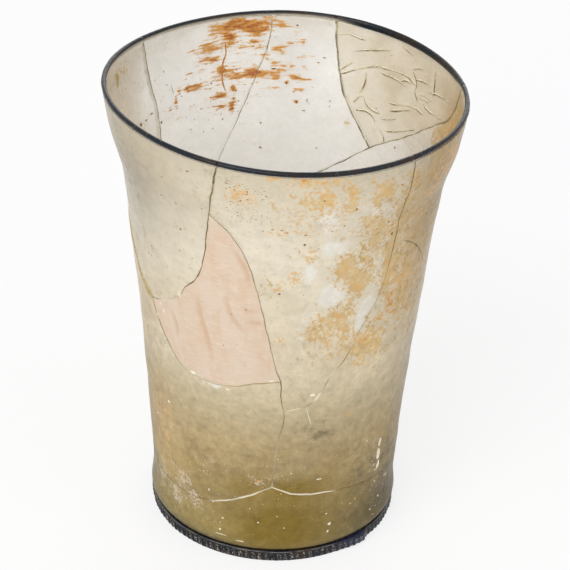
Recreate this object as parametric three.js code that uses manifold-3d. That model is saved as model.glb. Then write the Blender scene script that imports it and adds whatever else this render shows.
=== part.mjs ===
// A tall glass beaker of the late Middle Ages type: a thin blown wall that flares to the rim, a pushed-in
// base, a dark thread round the rim and a dark milled thread for a foot. It was found broken and is
// glued up from sherds, with two resin fills where glass was lost.
//
// Millimetres, +Z up, the origin at the middle of the foot on the table. A bearing is an angle in
// degrees round the axis, nought at the front (-Y) and growing towards +X.

import * as THREE from 'three';
import { mergeVertices } from 'three/addons/utils/BufferGeometryUtils.js';
import Module from 'manifold-3d';

const wasm = await Module();
wasm.setup();

// Driving sizes of the vessel as a whole
const HEIGHT = 170.3;
const ROUND_STEPS = 66;
const WALL_ROWS = 14;
const HEEL_ROWS = 3;
const KICK_ROWS = 6;
const JOINT_GAP = 0.3;

// The outside of the wall. The lower stations count up from the table and out from the heel, the
// upper ones down from the top and in from the rim
const HEEL_HEIGHT = 7.5;
const HEEL_RADIUS = 45.8;
const WAIST_HEIGHT = 17;
const WAIST_INSET = 0.65;
const MIDDLE_HEIGHT = 70;
const MIDDLE_SWELL = 3.2;
const SHOULDER_DEPTH = 50;
const SHOULDER_INSET = 8.9;
const FLARE_DEPTH = 29;
const FLARE_INSET = 6.2;
const LIP_DEPTH = 15;
const LIP_INSET = 2.2;
const RIM_RADIUS = 62.9;
const RIM_WALL = 1.3;
const HEEL_WALL = 2.1;

// The pushed-in base
const KICK_RISE = 11;
const FLOOR_THICKNESS = 2.4;
const FLOOR_FILLET = 1;
const SEAT_INSET = 2.6;

// The thread round the rim
const RIM_THREAD_DIAMETER = 1.9;
const RIM_THREAD_SIDES = 8;

// The milled thread of the foot
const FOOT_THREAD_HEIGHT = 4.1;
const FOOT_THREAD_WIDTH = 3.6;
const FOOT_THREAD_OUTSET = 0.15;
const FOOT_FLAT_WIDTH = 2.8;
const FOOT_ROUNDING = 0.6;
const CREST_INSET = 1.2;
const NOTCH_COUNT = 120;
const NOTCH_DEPTH = 0.7;
const SMOOTH_BAND = 0.8;
const THREAD_END_START = 24;
const THREAD_END_PEAK = 47;
const THREAD_END_DROP = 6;
const THREAD_END_SWELL = 1.5;

// How the old glass has settled out of true: the rim leans down to the right, and waves a little
const RIM_LEAN = 0.033;
const RIM_WAVES = [
  [0.65, 118],
  [0.66, 265],
  [0.75, 87],
  [0.5, 327],
];

// Depth of the cutting blades to each side of the middle of the wall
const BLADE_REACH = 4;

// The cracks as they run over the wall, each a line of [bearing, height], with the height in
// hundredths of the beaker's. A line that starts at ABOVE_RIM breaks the rim.
const ABOVE_RIM = 101.8;
const UPPER_LEFT_FORK = [-24.6, 86.7];
const LEFT_FORK = [-59.1, 58.1];
const FILL_CORNER = [1.9, 47.7];
const FRONT_FORK = [3.5, 40.2];
const FOOT_FORK = [-0.3, 19.8];
const CLEAR_FILL_CORNER = [144.5, 73.6];
const BACK_FORK = [220, 51.7];
const LOW_BACK_FORK = [233, 35.2];
const CRACKS = {
  front_left: [
    [-19.7, ABOVE_RIM], [-21.9, 94.4], UPPER_LEFT_FORK, [-26.7, 80.9], [-28.5, 74.8], [-31.9, 69.6],
    [-37.7, 66], [-41.3, 63.1], [-47.6, 60.5], [-53, 59.1], LEFT_FORK,
  ],
  left_join: [LEFT_FORK, [-64.8, 59.5], [-69.8, 61.3], [-73.2, 64.3], [-86, 69.9], [-104, 74], [-123.1, 76.3]],
  pink_fill_left: [
    LEFT_FORK, [-54.5, 53.2], [-47.1, 47.8], [-42.4, 45.8], [-37, 45], [-16, 45.4], [-7.9, 46.8], FILL_CORNER,
  ],
  pink_fill_right: [
    UPPER_LEFT_FORK, [-17.6, 83], [-12.1, 77.6], [-8, 69.9], [-3.5, 58.7], [0.4, 49.8], FILL_CORNER,
  ],
  front_low: [FILL_CORNER, [2.9, 41.3], FRONT_FORK, [1.5, 31.5], [0.5, 24.7], FOOT_FORK],
  front_right: [
    [43, ABOVE_RIM], [44.3, 95.4], [43.7, 87.7], [44.4, 81], [42.4, 71.9], [39.9, 66.5], [33.5, 59.3],
    [27.8, 52.3], [22.4, 48.6], [17.2, 43.3], [13.7, 41.6], [10, 40.8], FRONT_FORK,
  ],
  spur: [[12.7, 41.3], [14, 38.6], [15.4, 36.1]],
  back_left: [
    [238.1, ABOVE_RIM], [237.3, 85.1], [236.9, 76.3], [237.4, 62.2], [236, 48.2], LOW_BACK_FORK, [230, 25.8],
    [226, 15.6],
  ],
  back_centre: [
    [185.2, ABOVE_RIM], [187.1, 92.2], [192.3, 85.4], [200.4, 76.2], [208.1, 68.5], [214.5, 59.9], BACK_FORK,
    [227, 42.9], LOW_BACK_FORK,
  ],
  clear_fill_left: [[164.6, ABOVE_RIM], [162.1, 90.7], [157.4, 83.1], [152.1, 78.7], CLEAR_FILL_CORNER],
  clear_fill_right: [
    [100, ABOVE_RIM], [100.4, 95.7], [103.3, 90.9], [111.9, 86.8], [126.7, 80.2], CLEAR_FILL_CORNER,
    [155.7, 68.6], [176, 61.4], [198, 55.8], BACK_FORK,
  ],
  round_base: [
    FOOT_FORK, [8.3, 18.1], [25.8, 17.1], [46, 16.1], [70, 14.8], [95, 13.7], [120, 13.3], [145, 13.7],
    [170, 14.6], [198, 15.5], [226, 15.6], [254, 14.6], [280, 13.3], [305.5, 12.3], [329.9, 13], [346.5, 16.2],
    [359.7, 19.8],
  ],
};

// One point inside each sherd and fill, as [bearing, height], and one bearing inside each length of
// the rim thread
const WALL_PIECES = {
  base: [60, 8.2],
  sherd_front: [15, 76.3],
  sherd_right: [75, 47],
  sherd_lower_left: [-40, 29.4],
  sherd_upper_left: [-70, 82.2],
  sherd_back_left: [222, 82.2],
  sherd_back: [175, 79.3],
  fill_pink: [-25, 55.8],
  fill_clear: [128, 91],
};
const RIM_PIECES = {
  rim_thread_front: 10,
  rim_thread_right: 72,
  rim_thread_clear_fill: 130,
  rim_thread_back: 175,
  rim_thread_back_left: 212,
  rim_thread_left: -70,
};
const PROBE_SIZE = 0.5;
const MERGE_WITHIN = 1e-4;

const GLASS = { color: 0xcdc6aa, roughness: 0.25, metalness: 0, transparent: true, opacity: 0.6 };
const BASE_GLASS = { color: 0x8c7637, roughness: 0.25, metalness: 0, transparent: true, opacity: 0.8 };
const PINK_RESIN = { color: 0xe8d6c6, roughness: 0.55, metalness: 0 };
const CLEAR_RESIN = { color: 0xd7cdb9, roughness: 0.4, metalness: 0, transparent: true, opacity: 0.7 };
const DARK_GLASS = { color: 0x1c2030, roughness: 0.2, metalness: 0 };

const seatHeight = FOOT_THREAD_HEIGHT + JOINT_GAP;
const seatRadius = HEEL_RADIUS - SEAT_INSET;
const edgeHeight = HEIGHT - RIM_THREAD_DIAMETER - JOINT_GAP;
const rimMiddle = RIM_RADIUS - RIM_WALL / 2;

// A smooth curve through a few [height, radius] stations, as a function of height
function smoothThrough(stations) {
  const last = stations.length - 1;
  const slope = (i) => {
    const [z0, r0] = stations[Math.max(i - 1, 0)];
    const [z1, r1] = stations[Math.min(i + 1, last)];
    return (r1 - r0) / (z1 - z0);
  };
  return (height) => {
    const z = THREE.MathUtils.clamp(height, stations[0][0], stations[last][0]);
    const i = Math.min(stations.findIndex(([top], n) => n > 0 && z <= top) - 1, last - 1);
    const [z0, r0] = stations[i];
    const [z1, r1] = stations[i + 1];
    const span = z1 - z0;
    const t = (z - z0) / span;
    const rise = r1 - r0;
    const bend = t * (1 - t) * ((slope(i) * span - rise) * (1 - t) + (rise - slope(i + 1) * span) * t);
    return r0 + rise * t + bend;
  };
}

const outerRadius = smoothThrough([
  [HEEL_HEIGHT, HEEL_RADIUS],
  [WAIST_HEIGHT, HEEL_RADIUS - WAIST_INSET],
  [MIDDLE_HEIGHT, HEEL_RADIUS + MIDDLE_SWELL],
  [HEIGHT - SHOULDER_DEPTH, RIM_RADIUS - SHOULDER_INSET],
  [HEIGHT - FLARE_DEPTH, RIM_RADIUS - FLARE_INSET],
  [HEIGHT - LIP_DEPTH, RIM_RADIUS - LIP_INSET],
  [edgeHeight, RIM_RADIUS],
]);
const wallThickness = (z) => THREE.MathUtils.mapLinear(z, HEEL_HEIGHT, edgeHeight, HEEL_WALL, RIM_WALL);
const wallMiddle = (z) => outerRadius(z) - wallThickness(z) / 2;
const kickHeight = (r) => KICK_RISE * (1 + Math.cos((Math.PI * r) / seatRadius)) / 2;

const fromHundredths = (height) => (height * HEIGHT) / 100;

function at(bearing, radius, z) {
  const angle = THREE.MathUtils.degToRad(bearing);
  return new THREE.Vector3(radius * Math.sin(angle), -radius * Math.cos(angle), z);
}

// The lean and the waves, which fade to nothing at the table
function settle(point) {
  const share = point.z / HEIGHT;
  const angle = Math.atan2(point.x, -point.y);
  const wave = RIM_WAVES.reduce(
    (sum, [size, peak], n) => sum + size * Math.cos((n + 1) * angle - THREE.MathUtils.degToRad(peak)),
    0,
  );
  const radius = Math.hypot(point.x, point.y);
  const swell = radius > 0 ? 1 + (share * share * wave) / radius : 1;
  point.x *= swell;
  point.y *= swell;
  point.z -= RIM_LEAN * point.x * share;
  return point;
}

// Evenly spread shares from 0 to 1, and shares that crowd towards both ends
const evenly = (count) => Array.from({ length: count + 1 }, (_, i) => i / count);
const crowdedAtEnds = (count) => evenly(count).map((t) => (1 - Math.cos(Math.PI * t)) / 2);

// The blown vessel as one outline: under the kick, round the heel, up the wall, over its edge, down
// the inside and across the floor
function vesselOutline() {
  const under = evenly(KICK_ROWS).map((t) => {
    const r = t * seatRadius;
    return new THREE.Vector2(r, seatHeight + kickHeight(r));
  });
  const heel = evenly(HEEL_ROWS).slice(1, -1).map((t) => new THREE.Vector2(
    seatRadius + SEAT_INSET * Math.sin((t * Math.PI) / 2),
    HEEL_HEIGHT - (HEEL_HEIGHT - seatHeight) * Math.cos((t * Math.PI) / 2),
  ));
  const outside = crowdedAtEnds(WALL_ROWS).map((t) => {
    const z = THREE.MathUtils.lerp(HEEL_HEIGHT, edgeHeight, t);
    return new THREE.Vector2(outerRadius(z), z);
  });
  const innerHeel = seatHeight + FLOOR_THICKNESS + FLOOR_FILLET;
  const inside = crowdedAtEnds(WALL_ROWS - 3).map((t) => {
    const z = THREE.MathUtils.lerp(edgeHeight, innerHeel, t);
    return new THREE.Vector2(outerRadius(z) - wallThickness(z), z);
  });
  const floor = evenly(KICK_ROWS).reverse().map((t) => {
    const r = t * (seatRadius - FLOOR_THICKNESS / 2);
    return new THREE.Vector2(r, seatHeight + FLOOR_THICKNESS + kickHeight(r));
  });
  return [...under, ...heel, ...outside, ...inside, ...floor];
}

function rimThreadOutline() {
  const half = RIM_THREAD_DIAMETER / 2;
  const middle = new THREE.Vector2(rimMiddle, HEIGHT - half);
  return evenly(RIM_THREAD_SIDES).map((t) => {
    const turn = 2 * Math.PI * t;
    return new THREE.Vector2(middle.x + half * Math.cos(turn), middle.y + half * Math.sin(turn));
  });
}

// A solid swept through rings of points, which closes on itself or gets a flat cap at each end. The
// two halves of the section are split along mirrored diagonals, so a twisted blade keeps its thickness
function sweep(rings, closed) {
  const sides = rings[0].length;
  const index = [];
  const quad = (a, b, c, d) => index.push(a, b, c, a, c, d);
  const mirroredQuad = (a, b, c, d) => index.push(a, b, d, b, c, d);
  const joins = closed ? rings.length : rings.length - 1;
  for (let i = 0; i < joins; i += 1) {
    const here = i * sides;
    const next = ((i + 1) % rings.length) * sides;
    for (let k = 0; k < sides; k += 1) {
      const l = (k + 1) % sides;
      const split = k < sides / 2 ? quad : mirroredQuad;
      split(here + k, next + k, next + l, here + l);
    }
  }
  const end = (rings.length - 1) * sides;
  for (let k = 1; k < sides - 1 && !closed; k += 1) {
    index.push(0, k, k + 1, end, end + k + 1, end + k);
  }
  const geometry = new THREE.BufferGeometry().setFromPoints(rings.flat());
  geometry.setIndex(index);
  return geometry;
}

function revolve(outline) {
  return new THREE.LatheGeometry(outline, ROUND_STEPS).rotateX(Math.PI / 2);
}

// A closed mesh as a solid that can be cut: shared points merged, and no triangle without area
function toSolid(geometry) {
  geometry.deleteAttribute('normal');
  geometry.deleteAttribute('uv');
  const merged = mergeVertices(geometry, MERGE_WITHIN);
  const corners = merged.index.array;
  const triVerts = [];
  for (let i = 0; i < corners.length; i += 3) {
    const [a, b, c] = corners.slice(i, i + 3);
    if (a !== b && b !== c && c !== a) {
      triVerts.push(a, b, c);
    }
  }
  return new wasm.Manifold(new wasm.Mesh({
    numProp: 3,
    vertProperties: merged.attributes.position.array,
    triVerts: new Uint32Array(triVerts),
  }));
}

function toGeometry(solid) {
  const { vertProperties, triVerts } = solid.getMesh();
  const geometry = new THREE.BufferGeometry();
  geometry.setAttribute('position', new THREE.BufferAttribute(vertProperties, 3));
  geometry.setIndex(new THREE.BufferAttribute(triVerts, 1));
  return geometry;
}

// One crack as a thin blade that follows its line through the wall
function blade(line) {
  const places = line.map(([bearing, height]) => {
    const z = fromHundredths(height);
    return { bearing, z, radius: wallMiddle(z) };
  });
  const mmPerDegree = (place) => THREE.MathUtils.degToRad(place.radius);
  const rings = places.map((place, i) => {
    const before = places[Math.max(i - 1, 0)];
    const after = places[Math.min(i + 1, places.length - 1)];
    const along = new THREE.Vector2((after.bearing - before.bearing) * mmPerDegree(place), after.z - before.z);
    along.setLength(JOINT_GAP / 2);
    const corner = (side, depth) => at(
      place.bearing - (side * along.y) / mmPerDegree(place),
      place.radius + depth,
      place.z + side * along.x,
    );
    return [
      corner(-1, -BLADE_REACH), corner(-1, BLADE_REACH), corner(1, BLADE_REACH), corner(1, -BLADE_REACH),
    ];
  });
  return sweep(rings, false);
}

// A small block round a place, which tells the broken pieces apart
function probe(bearing, radius, z) {
  const block = new THREE.BoxGeometry(PROBE_SIZE, PROBE_SIZE, PROBE_SIZE);
  return toSolid(block.translate(...at(bearing, radius, z)));
}

function nameBroken(solid, places) {
  const broken = solid.decompose();
  return places.map(([name, [bearing, radius, z]]) => {
    const block = probe(bearing, radius, z);
    return [name, broken.find((piece) => !piece.intersect(block).isEmpty())];
  });
}

// The milled thread: its section changes with the bearing between a ridge and a notch, and swells
// where the end of the thread was laid over its start
function footThread() {
  const outer = HEEL_RADIUS - FOOT_THREAD_OUTSET;
  const inner = outer - FOOT_THREAD_WIDTH;
  const bandFoot = FOOT_THREAD_HEIGHT - SMOOTH_BAND;
  const steps = 2 * NOTCH_COUNT;
  const rings = Array.from({ length: steps }, (_, i) => {
    const bearing = (360 * i) / steps;
    const laidOver = THREE.MathUtils.smoothstep(bearing, THREAD_END_START, THREAD_END_PEAK)
      - THREE.MathUtils.smoothstep(bearing, THREAD_END_PEAK, THREAD_END_PEAK + THREAD_END_DROP);
    const swollen = outer + THREAD_END_SWELL * laidOver;
    const notched = swollen - (i % 2) * NOTCH_DEPTH * (1 - laidOver / 2);
    return [
      at(bearing, inner, 0),
      at(bearing, inner + FOOT_FLAT_WIDTH, 0),
      at(bearing, notched, FOOT_ROUNDING),
      at(bearing, notched, bandFoot),
      at(bearing, swollen, bandFoot + SMOOTH_BAND / 2),
      at(bearing, outer - CREST_INSET, FOOT_THREAD_HEIGHT),
    ];
  });
  return sweep(rings, true);
}

const beaker = new THREE.Group();

function addPiece(name, solid, finish) {
  const geometry = toGeometry(solid);
  const places = geometry.attributes.position;
  const point = new THREE.Vector3();
  for (let i = 0; i < places.count; i += 1) {
    settle(point.fromBufferAttribute(places, i));
    places.setXYZ(i, point.x, point.y, point.z);
  }
  geometry.computeVertexNormals();
  const piece = new THREE.Mesh(geometry, new THREE.MeshStandardMaterial(finish));
  piece.name = name;
  beaker.add(piece);
}

const wallFinish = { base: BASE_GLASS, fill_pink: PINK_RESIN, fill_clear: CLEAR_RESIN };
const cracks = wasm.Manifold.union(Object.values(CRACKS).map((line) => toSolid(blade(line))));

const vessel = toSolid(revolve(vesselOutline())).subtract(cracks);
const wallPlaces = Object.entries(WALL_PIECES).map(([name, [bearing, height]]) => {
  const z = fromHundredths(height);
  return [name, [bearing, wallMiddle(z), z]];
});
for (const [name, solid] of nameBroken(vessel, wallPlaces)) {
  addPiece(name, solid, wallFinish[name] ?? GLASS);
}

const rimThread = toSolid(revolve(rimThreadOutline())).subtract(cracks);
const rimPlaces = Object.entries(RIM_PIECES).map(([name, bearing]) => (
  [name, [bearing, rimMiddle, HEIGHT - RIM_THREAD_DIAMETER / 2]]
));
for (const [name, solid] of nameBroken(rimThread, rimPlaces)) {
  addPiece(name, solid, DARK_GLASS);
}

addPiece('foot_thread', toSolid(footThread()), DARK_GLASS);

export default beaker;
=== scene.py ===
"""A tall glass beaker of the late Middle Ages type, glued up from sherds, with two resin fills.

The named sizes are millimetres and match the CAD source. A bearing is an angle in degrees round the
axis, nought at the front (-Y) and growing towards +X. The wall is laid out flat, as if unrolled, for
the broken pieces: a place on the flat is (bearing * UNROLLED, height).
"""

import math

import bpy
import numpy as np
from mathutils import Matrix, Vector
from mathutils.geometry import delaunay_2d_cdt


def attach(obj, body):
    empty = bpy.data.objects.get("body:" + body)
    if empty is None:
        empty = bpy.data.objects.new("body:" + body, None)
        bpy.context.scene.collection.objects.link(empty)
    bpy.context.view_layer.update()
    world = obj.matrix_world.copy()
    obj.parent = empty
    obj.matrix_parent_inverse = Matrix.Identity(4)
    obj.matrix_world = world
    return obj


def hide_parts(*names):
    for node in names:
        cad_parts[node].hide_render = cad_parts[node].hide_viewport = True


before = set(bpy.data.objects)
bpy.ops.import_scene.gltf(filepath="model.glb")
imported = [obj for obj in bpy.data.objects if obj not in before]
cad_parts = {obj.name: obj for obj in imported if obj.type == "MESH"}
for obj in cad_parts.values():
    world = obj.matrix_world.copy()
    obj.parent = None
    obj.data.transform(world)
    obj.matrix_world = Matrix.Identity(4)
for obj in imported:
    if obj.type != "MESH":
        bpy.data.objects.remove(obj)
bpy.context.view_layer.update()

MM = 0.001

# The vessel as in the CAD source
HEIGHT = 170.3
HEEL_HEIGHT = 7.5
HEEL_RADIUS = 45.8
RIM_RADIUS = 62.9
RIM_WALL = 1.3
HEEL_WALL = 2.1
WALL_STATIONS = (
    (HEEL_HEIGHT, HEEL_RADIUS),
    (17, HEEL_RADIUS - 0.65),
    (70, HEEL_RADIUS + 3.2),
    (HEIGHT - 50, RIM_RADIUS - 8.9),
    (HEIGHT - 29, RIM_RADIUS - 6.2),
    (HEIGHT - 15, RIM_RADIUS - 2.2),
    (HEIGHT - 2.2, RIM_RADIUS),
)
KICK_RISE = 11
FLOOR_THICKNESS = 2.4
FLOOR_FILLET = 1
SEAT_INSET = 2.6
JOINT_GAP = 0.3
RIM_THREAD_DIAMETER = 1.9
FOOT_THREAD_HEIGHT = 4.1
FOOT_THREAD_WIDTH = 3.6
FOOT_THREAD_OUTSET = 0.15
FOOT_FLAT_WIDTH = 2.8
NOTCH_COUNT = 120
NOTCH_DEPTH = 0.7
THREAD_END_START = 24
THREAD_END_PEAK = 47
THREAD_END_DROP = 6
THREAD_END_SWELL = 1.5
RIM_LEAN = 0.033
RIM_WAVES = ((0.65, 118), (0.66, 265), (0.75, 87), (0.5, 327))

SEAT_HEIGHT = FOOT_THREAD_HEIGHT + JOINT_GAP
SEAT_RADIUS = HEEL_RADIUS - SEAT_INSET
EDGE_HEIGHT = HEIGHT - RIM_THREAD_DIAMETER - JOINT_GAP
RIM_MIDDLE = RIM_RADIUS - RIM_WALL / 2

# The cracks as [bearing, height], the height in hundredths of the beaker's
ABOVE_RIM = 101.8
UPPER_LEFT_FORK = (-24.6, 86.7)
LEFT_FORK = (-59.1, 58.1)
FILL_CORNER = (1.9, 47.7)
FRONT_FORK = (3.5, 40.2)
FOOT_FORK = (-0.3, 19.8)
CLEAR_FILL_CORNER = (144.5, 73.6)
BACK_FORK = (220, 51.7)
LOW_BACK_FORK = (233, 35.2)
CRACKS = {
    "front_left": (
        (-19.7, ABOVE_RIM), (-21.9, 94.4), UPPER_LEFT_FORK, (-26.7, 80.9), (-28.5, 74.8), (-31.9, 69.6),
        (-37.7, 66), (-41.3, 63.1), (-47.6, 60.5), (-53, 59.1), LEFT_FORK,
    ),
    "left_join": (
        LEFT_FORK, (-64.8, 59.5), (-69.8, 61.3), (-73.2, 64.3), (-86, 69.9), (-104, 74), (-123.1, 76.3),
    ),
    "pink_fill_left": (
        LEFT_FORK, (-54.5, 53.2), (-47.1, 47.8), (-42.4, 45.8), (-37, 45), (-16, 45.4), (-7.9, 46.8),
        FILL_CORNER,
    ),
    "pink_fill_right": (
        UPPER_LEFT_FORK, (-17.6, 83), (-12.1, 77.6), (-8, 69.9), (-3.5, 58.7), (0.4, 49.8), FILL_CORNER,
    ),
    "front_low": (FILL_CORNER, (2.9, 41.3), FRONT_FORK, (1.5, 31.5), (0.5, 24.7), FOOT_FORK),
    "front_right": (
        (43, ABOVE_RIM), (44.3, 95.4), (43.7, 87.7), (44.4, 81), (42.4, 71.9), (39.9, 66.5), (33.5, 59.3),
        (27.8, 52.3), (22.4, 48.6), (17.2, 43.3), (13.7, 41.6), (10, 40.8), FRONT_FORK,
    ),
    "back_left": (
        (238.1, ABOVE_RIM), (237.3, 85.1), (236.9, 76.3), (237.4, 62.2), (236, 48.2), LOW_BACK_FORK,
        (230, 25.8), (226, 15.6),
    ),
    "back_centre": (
        (185.2, ABOVE_RIM), (187.1, 92.2), (192.3, 85.4), (200.4, 76.2), (208.1, 68.5), (214.5, 59.9),
        BACK_FORK, (227, 42.9), LOW_BACK_FORK,
    ),
    "clear_fill_left": (
        (164.6, ABOVE_RIM), (162.1, 90.7), (157.4, 83.1), (152.1, 78.7), CLEAR_FILL_CORNER,
    ),
    "clear_fill_right": (
        (100, ABOVE_RIM), (100.4, 95.7), (103.3, 90.9), (111.9, 86.8), (126.7, 80.2), CLEAR_FILL_CORNER,
        (155.7, 68.6), (176, 61.4), (198, 55.8), BACK_FORK,
    ),
    "round_base": (
        FOOT_FORK, (8.3, 18.1), (25.8, 17.1), (46, 16.1), (70, 14.8), (95, 13.7), (120, 13.3), (145, 13.7),
        (170, 14.6), (198, 15.5), (226, 15.6), (254, 14.6), (280, 13.3), (305.5, 12.3), (329.9, 13),
        (346.5, 16.2), (359.7, 19.8),
    ),
}
# Lines on the surface that part nothing: a short crack, and the edge of a flake
SPUR = ((12.7, 41.3), (14, 38.6), (15.4, 36.1))
FLAKE = ((49.6, 77.6), (54.1, 76.2), (60.1, 73.6), (65.8, 70), (69.4, 67.1))

# One place inside each piece of the wall, and one bearing inside each length of the rim thread
WALL_PIECES = {
    "base": (60, 8.2),
    "sherd_front": (15, 76.3),
    "sherd_right": (75, 47),
    "sherd_lower_left": (-40, 29.4),
    "sherd_upper_left": (-70, 82.2),
    "sherd_back_left": (222, 82.2),
    "sherd_back": (175, 79.3),
    "fill_pink": (-25, 55.8),
    "fill_clear": (128, 91),
}
RIM_PIECES = {
    "rim_thread_front": 10,
    "rim_thread_right": 72,
    "rim_thread_clear_fill": 130,
    "rim_thread_back": 175,
    "rim_thread_back_left": 212,
    "rim_thread_left": -70,
}

# The folds of the clear fill's film, as (bearing, height in millimetres)
WRINKLES = (
    (
        (161, 149.3), (156, 151.7), (152, 153.6), (148, 155.3), (142, 155.9), (137, 156.4), (132, 156.3),
        (129, 154.9),
    ),
    ((161, 150.5), (159, 152.6), (156, 154.5)),
    ((145, 153.9), (141, 153.9), (137, 153.5), (133, 152.8)),
    ((137, 153.5), (134, 155), (131, 154.8)),
    ((130, 156.9), (126, 158), (122, 158.1)),
    ((132, 159.2), (129, 154.9), (129, 152.7), (126, 150.1)),
    ((121, 164.5), (120, 158.9), (119, 155.2)),
    ((127, 153), (122, 153.5), (119, 153.6)),
    ((127, 151.8), (124, 152), (120, 152.5)),
    ((122, 155.6), (117, 157.1), (112, 158), (106, 158.8)),
    ((123, 150.9), (120, 150.1), (115, 150.2), (109, 151.4)),
    ((139, 144.8), (135, 145.5), (129, 147.2), (125, 147.7), (121, 147.6)),
    ((150, 143.5), (148, 140.9), (145, 139.8), (142, 139.6)),
    ((141, 137.9), (137, 139.1), (134, 140.7)),
    ((152, 138), (148, 138.7), (145, 137.6), (143, 135.5)),
    ((151, 152.4), (151, 148.1), (152, 144.3)),
    ((154, 140.4), (152, 143), (150, 143.9)),
    ((142, 134.2), (139, 132.1), (138, 129.5)),
    ((138, 134.3), (131, 136.9), (123, 141.1)),
    ((157, 158.4), (150, 160.8), (143, 162.9)),
    ((163, 163.5), (159, 164.1), (155, 163.6), (153, 163.6)),
    ((139, 166.3), (136, 165.5), (133, 164.3)),
    ((132, 159.9), (130, 161.3), (126, 162)),
    ((138, 142.2), (133, 144.2), (128, 146.3)),
)
WRINKLE_HEIGHT = 0.3
WRINKLE_WIDTH = 0.9
# The runs of darker resin in the pink fill
STREAKS = (
    ((-32, 112.6), (-31, 104.3), (-29, 97.8), (-27, 90.7), (-26, 82.9)),
    ((-20, 115.3), (-19, 110.7), (-16, 104.6), (-12, 100.5)),
    ((-8, 94), (-5, 90.1), (-1, 85.3)),
    ((-17, 136.1), (-15, 132.7), (-12, 127.5), (-10, 120.9)),
    ((-47, 100.4), (-44, 96.1), (-43, 88.7)),
    ((-19, 114.2), (-12, 115.4)),
    ((-15, 111.8), (-10, 110.3), (-6, 111)),
    ((-14, 105.5), (-5, 106.4)),
)
STREAK_DEPTH = 0.22
STREAK_WIDTH = 1.5

# How finely the wall is laid out
UNROLLED = 0.87
GIRTH = round(360 * UNROLLED, 4)
JOIN_HEIGHT = 12
CRACK_STEP = 1.2
WALL_SPACING = 2.4
RING_COUNT = 180
SEAM_MARGIN = 16
JITTER = 0.16
FINE_WINDOWS = (
    ((99, 125), (166, EDGE_HEIGHT), 0.8),
    ((-59, 76), (3, 149), 1.3),
    ((3, 88), (70, EDGE_HEIGHT), 1.3),
    ((-24, 149), (3, EDGE_HEIGHT), 1.3),
    ((168, 130), (232, EDGE_HEIGHT), 0.9),
)
WANDER = ((0.09, 9.1), (0.05, 4.3), (0.03, 2.6))
WANDER_FADE = 3.5
# How far places stay from a finer window, as a share of their spacing
WINDOW_MARGIN = 0.75
# How many places are measured against the cracks at a time
CHUNK = 2000
# How exactly the flat triangles are made, and to how many digits places round the seam agree
NET_EPSILON = 1e-6
NET_DIGITS = 3
# The sherds are glued up tight, closer than the CAD solids can lie
CRACK_GAP = 0.05
CHIPPING = 0.6
BEVEL = 0.05
RIPPLES = ((0.11, 3, 61), (0.08, 5, 37), (0.05, 9, 23), (0.05, 2, 17), (0.03, 14, 11))
RIPPLE_FADE = 12


def smooth_through(stations):
    """A smooth radius through a few (height, radius) stations, as a function of height."""
    heights, radii = np.array(stations, float).T
    last = len(heights) - 1
    before = np.maximum(np.arange(last + 1) - 1, 0)
    after = np.minimum(np.arange(last + 1) + 1, last)
    slopes = (radii[after] - radii[before]) / (heights[after] - heights[before])

    def radius(height):
        z = np.clip(height, heights[0], heights[-1])
        i = np.clip(np.searchsorted(heights, z) - 1, 0, last - 1)
        span = heights[i + 1] - heights[i]
        t = (z - heights[i]) / span
        rise = radii[i + 1] - radii[i]
        start = (slopes[i] * span - rise) * (1 - t)
        end = (rise - slopes[i + 1] * span) * t
        return radii[i] + rise * t + t * (1 - t) * (start + end)

    return radius


outer_radius = smooth_through(WALL_STATIONS)


def wall_thickness(z):
    share = (z - HEEL_HEIGHT) / (EDGE_HEIGHT - HEEL_HEIGHT)
    return HEEL_WALL + (RIM_WALL - HEEL_WALL) * share


def kick_height(r):
    return KICK_RISE * (1 + np.cos(np.pi * r / SEAT_RADIUS)) / 2


def settle(points):
    """The lean and the waves of the old glass, which fade to nothing at the table."""
    x, y, z = np.moveaxis(points, -1, 0)
    share = z / HEIGHT
    angle = np.arctan2(x, -y)
    wave = sum(
        size * np.cos((n + 1) * angle - math.radians(peak)) for n, (size, peak) in enumerate(RIM_WAVES)
    )
    swell = 1 + share**2 * wave / np.maximum(np.hypot(x, y), 1)
    x = x * swell
    return np.stack([x, y * swell, z - RIM_LEAN * x * share], axis=-1)


def around(bearing, radius, z):
    """Settled points at bearings, radii and heights."""
    angle = np.radians(bearing)
    x = radius * np.sin(angle)
    y = -radius * np.cos(angle)
    return settle(np.stack(np.broadcast_arrays(x, y, z), axis=-1).astype(float))


ripple_random = np.random.default_rng(11)
RIPPLE_PHASES = ripple_random.uniform(0, 2 * math.pi, len(RIPPLES))


def ripple(bearing, z):
    """The slight unevenness of blown glass, nothing at the heel and at the rim."""
    waves = sum(
        size * np.sin(turns * np.radians(bearing) + 2 * math.pi * z / pitch + phase)
        for (size, turns, pitch), phase in zip(RIPPLES, RIPPLE_PHASES)
    )
    above_heel = np.clip((z - JOIN_HEIGHT) / RIPPLE_FADE, 0, 1)
    below_rim = np.clip((EDGE_HEIGHT - z) / RIPPLE_FADE, 0, 1)
    return waves * above_heel * below_rim


def waves_round(bearing, waves):
    """The sum of waves round the axis, each as (size, waves a turn, phase)."""
    angle = np.radians(bearing)
    return sum(size * np.sin(turns * angle + phase) for size, turns, phase in waves)


def on_wall(flat, depth, lift=0):
    """Settled points for places on the flat, at a depth below the outside, lifted off it by lift."""
    bearing = flat[..., 0] / UNROLLED
    z = flat[..., 1]
    return around(bearing, outer_radius(z) + ripple(bearing, z) + lift - depth, z)


def unroll(points):
    """(bearing, hundredths of the height) as places on the flat."""
    return np.array([(bearing * UNROLLED, HEIGHT * height / 100) for bearing, height in points])


def unroll_mm(points):
    """(bearing, height) as places on the flat."""
    return np.array([(bearing * UNROLLED, height) for bearing, height in points])


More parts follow.
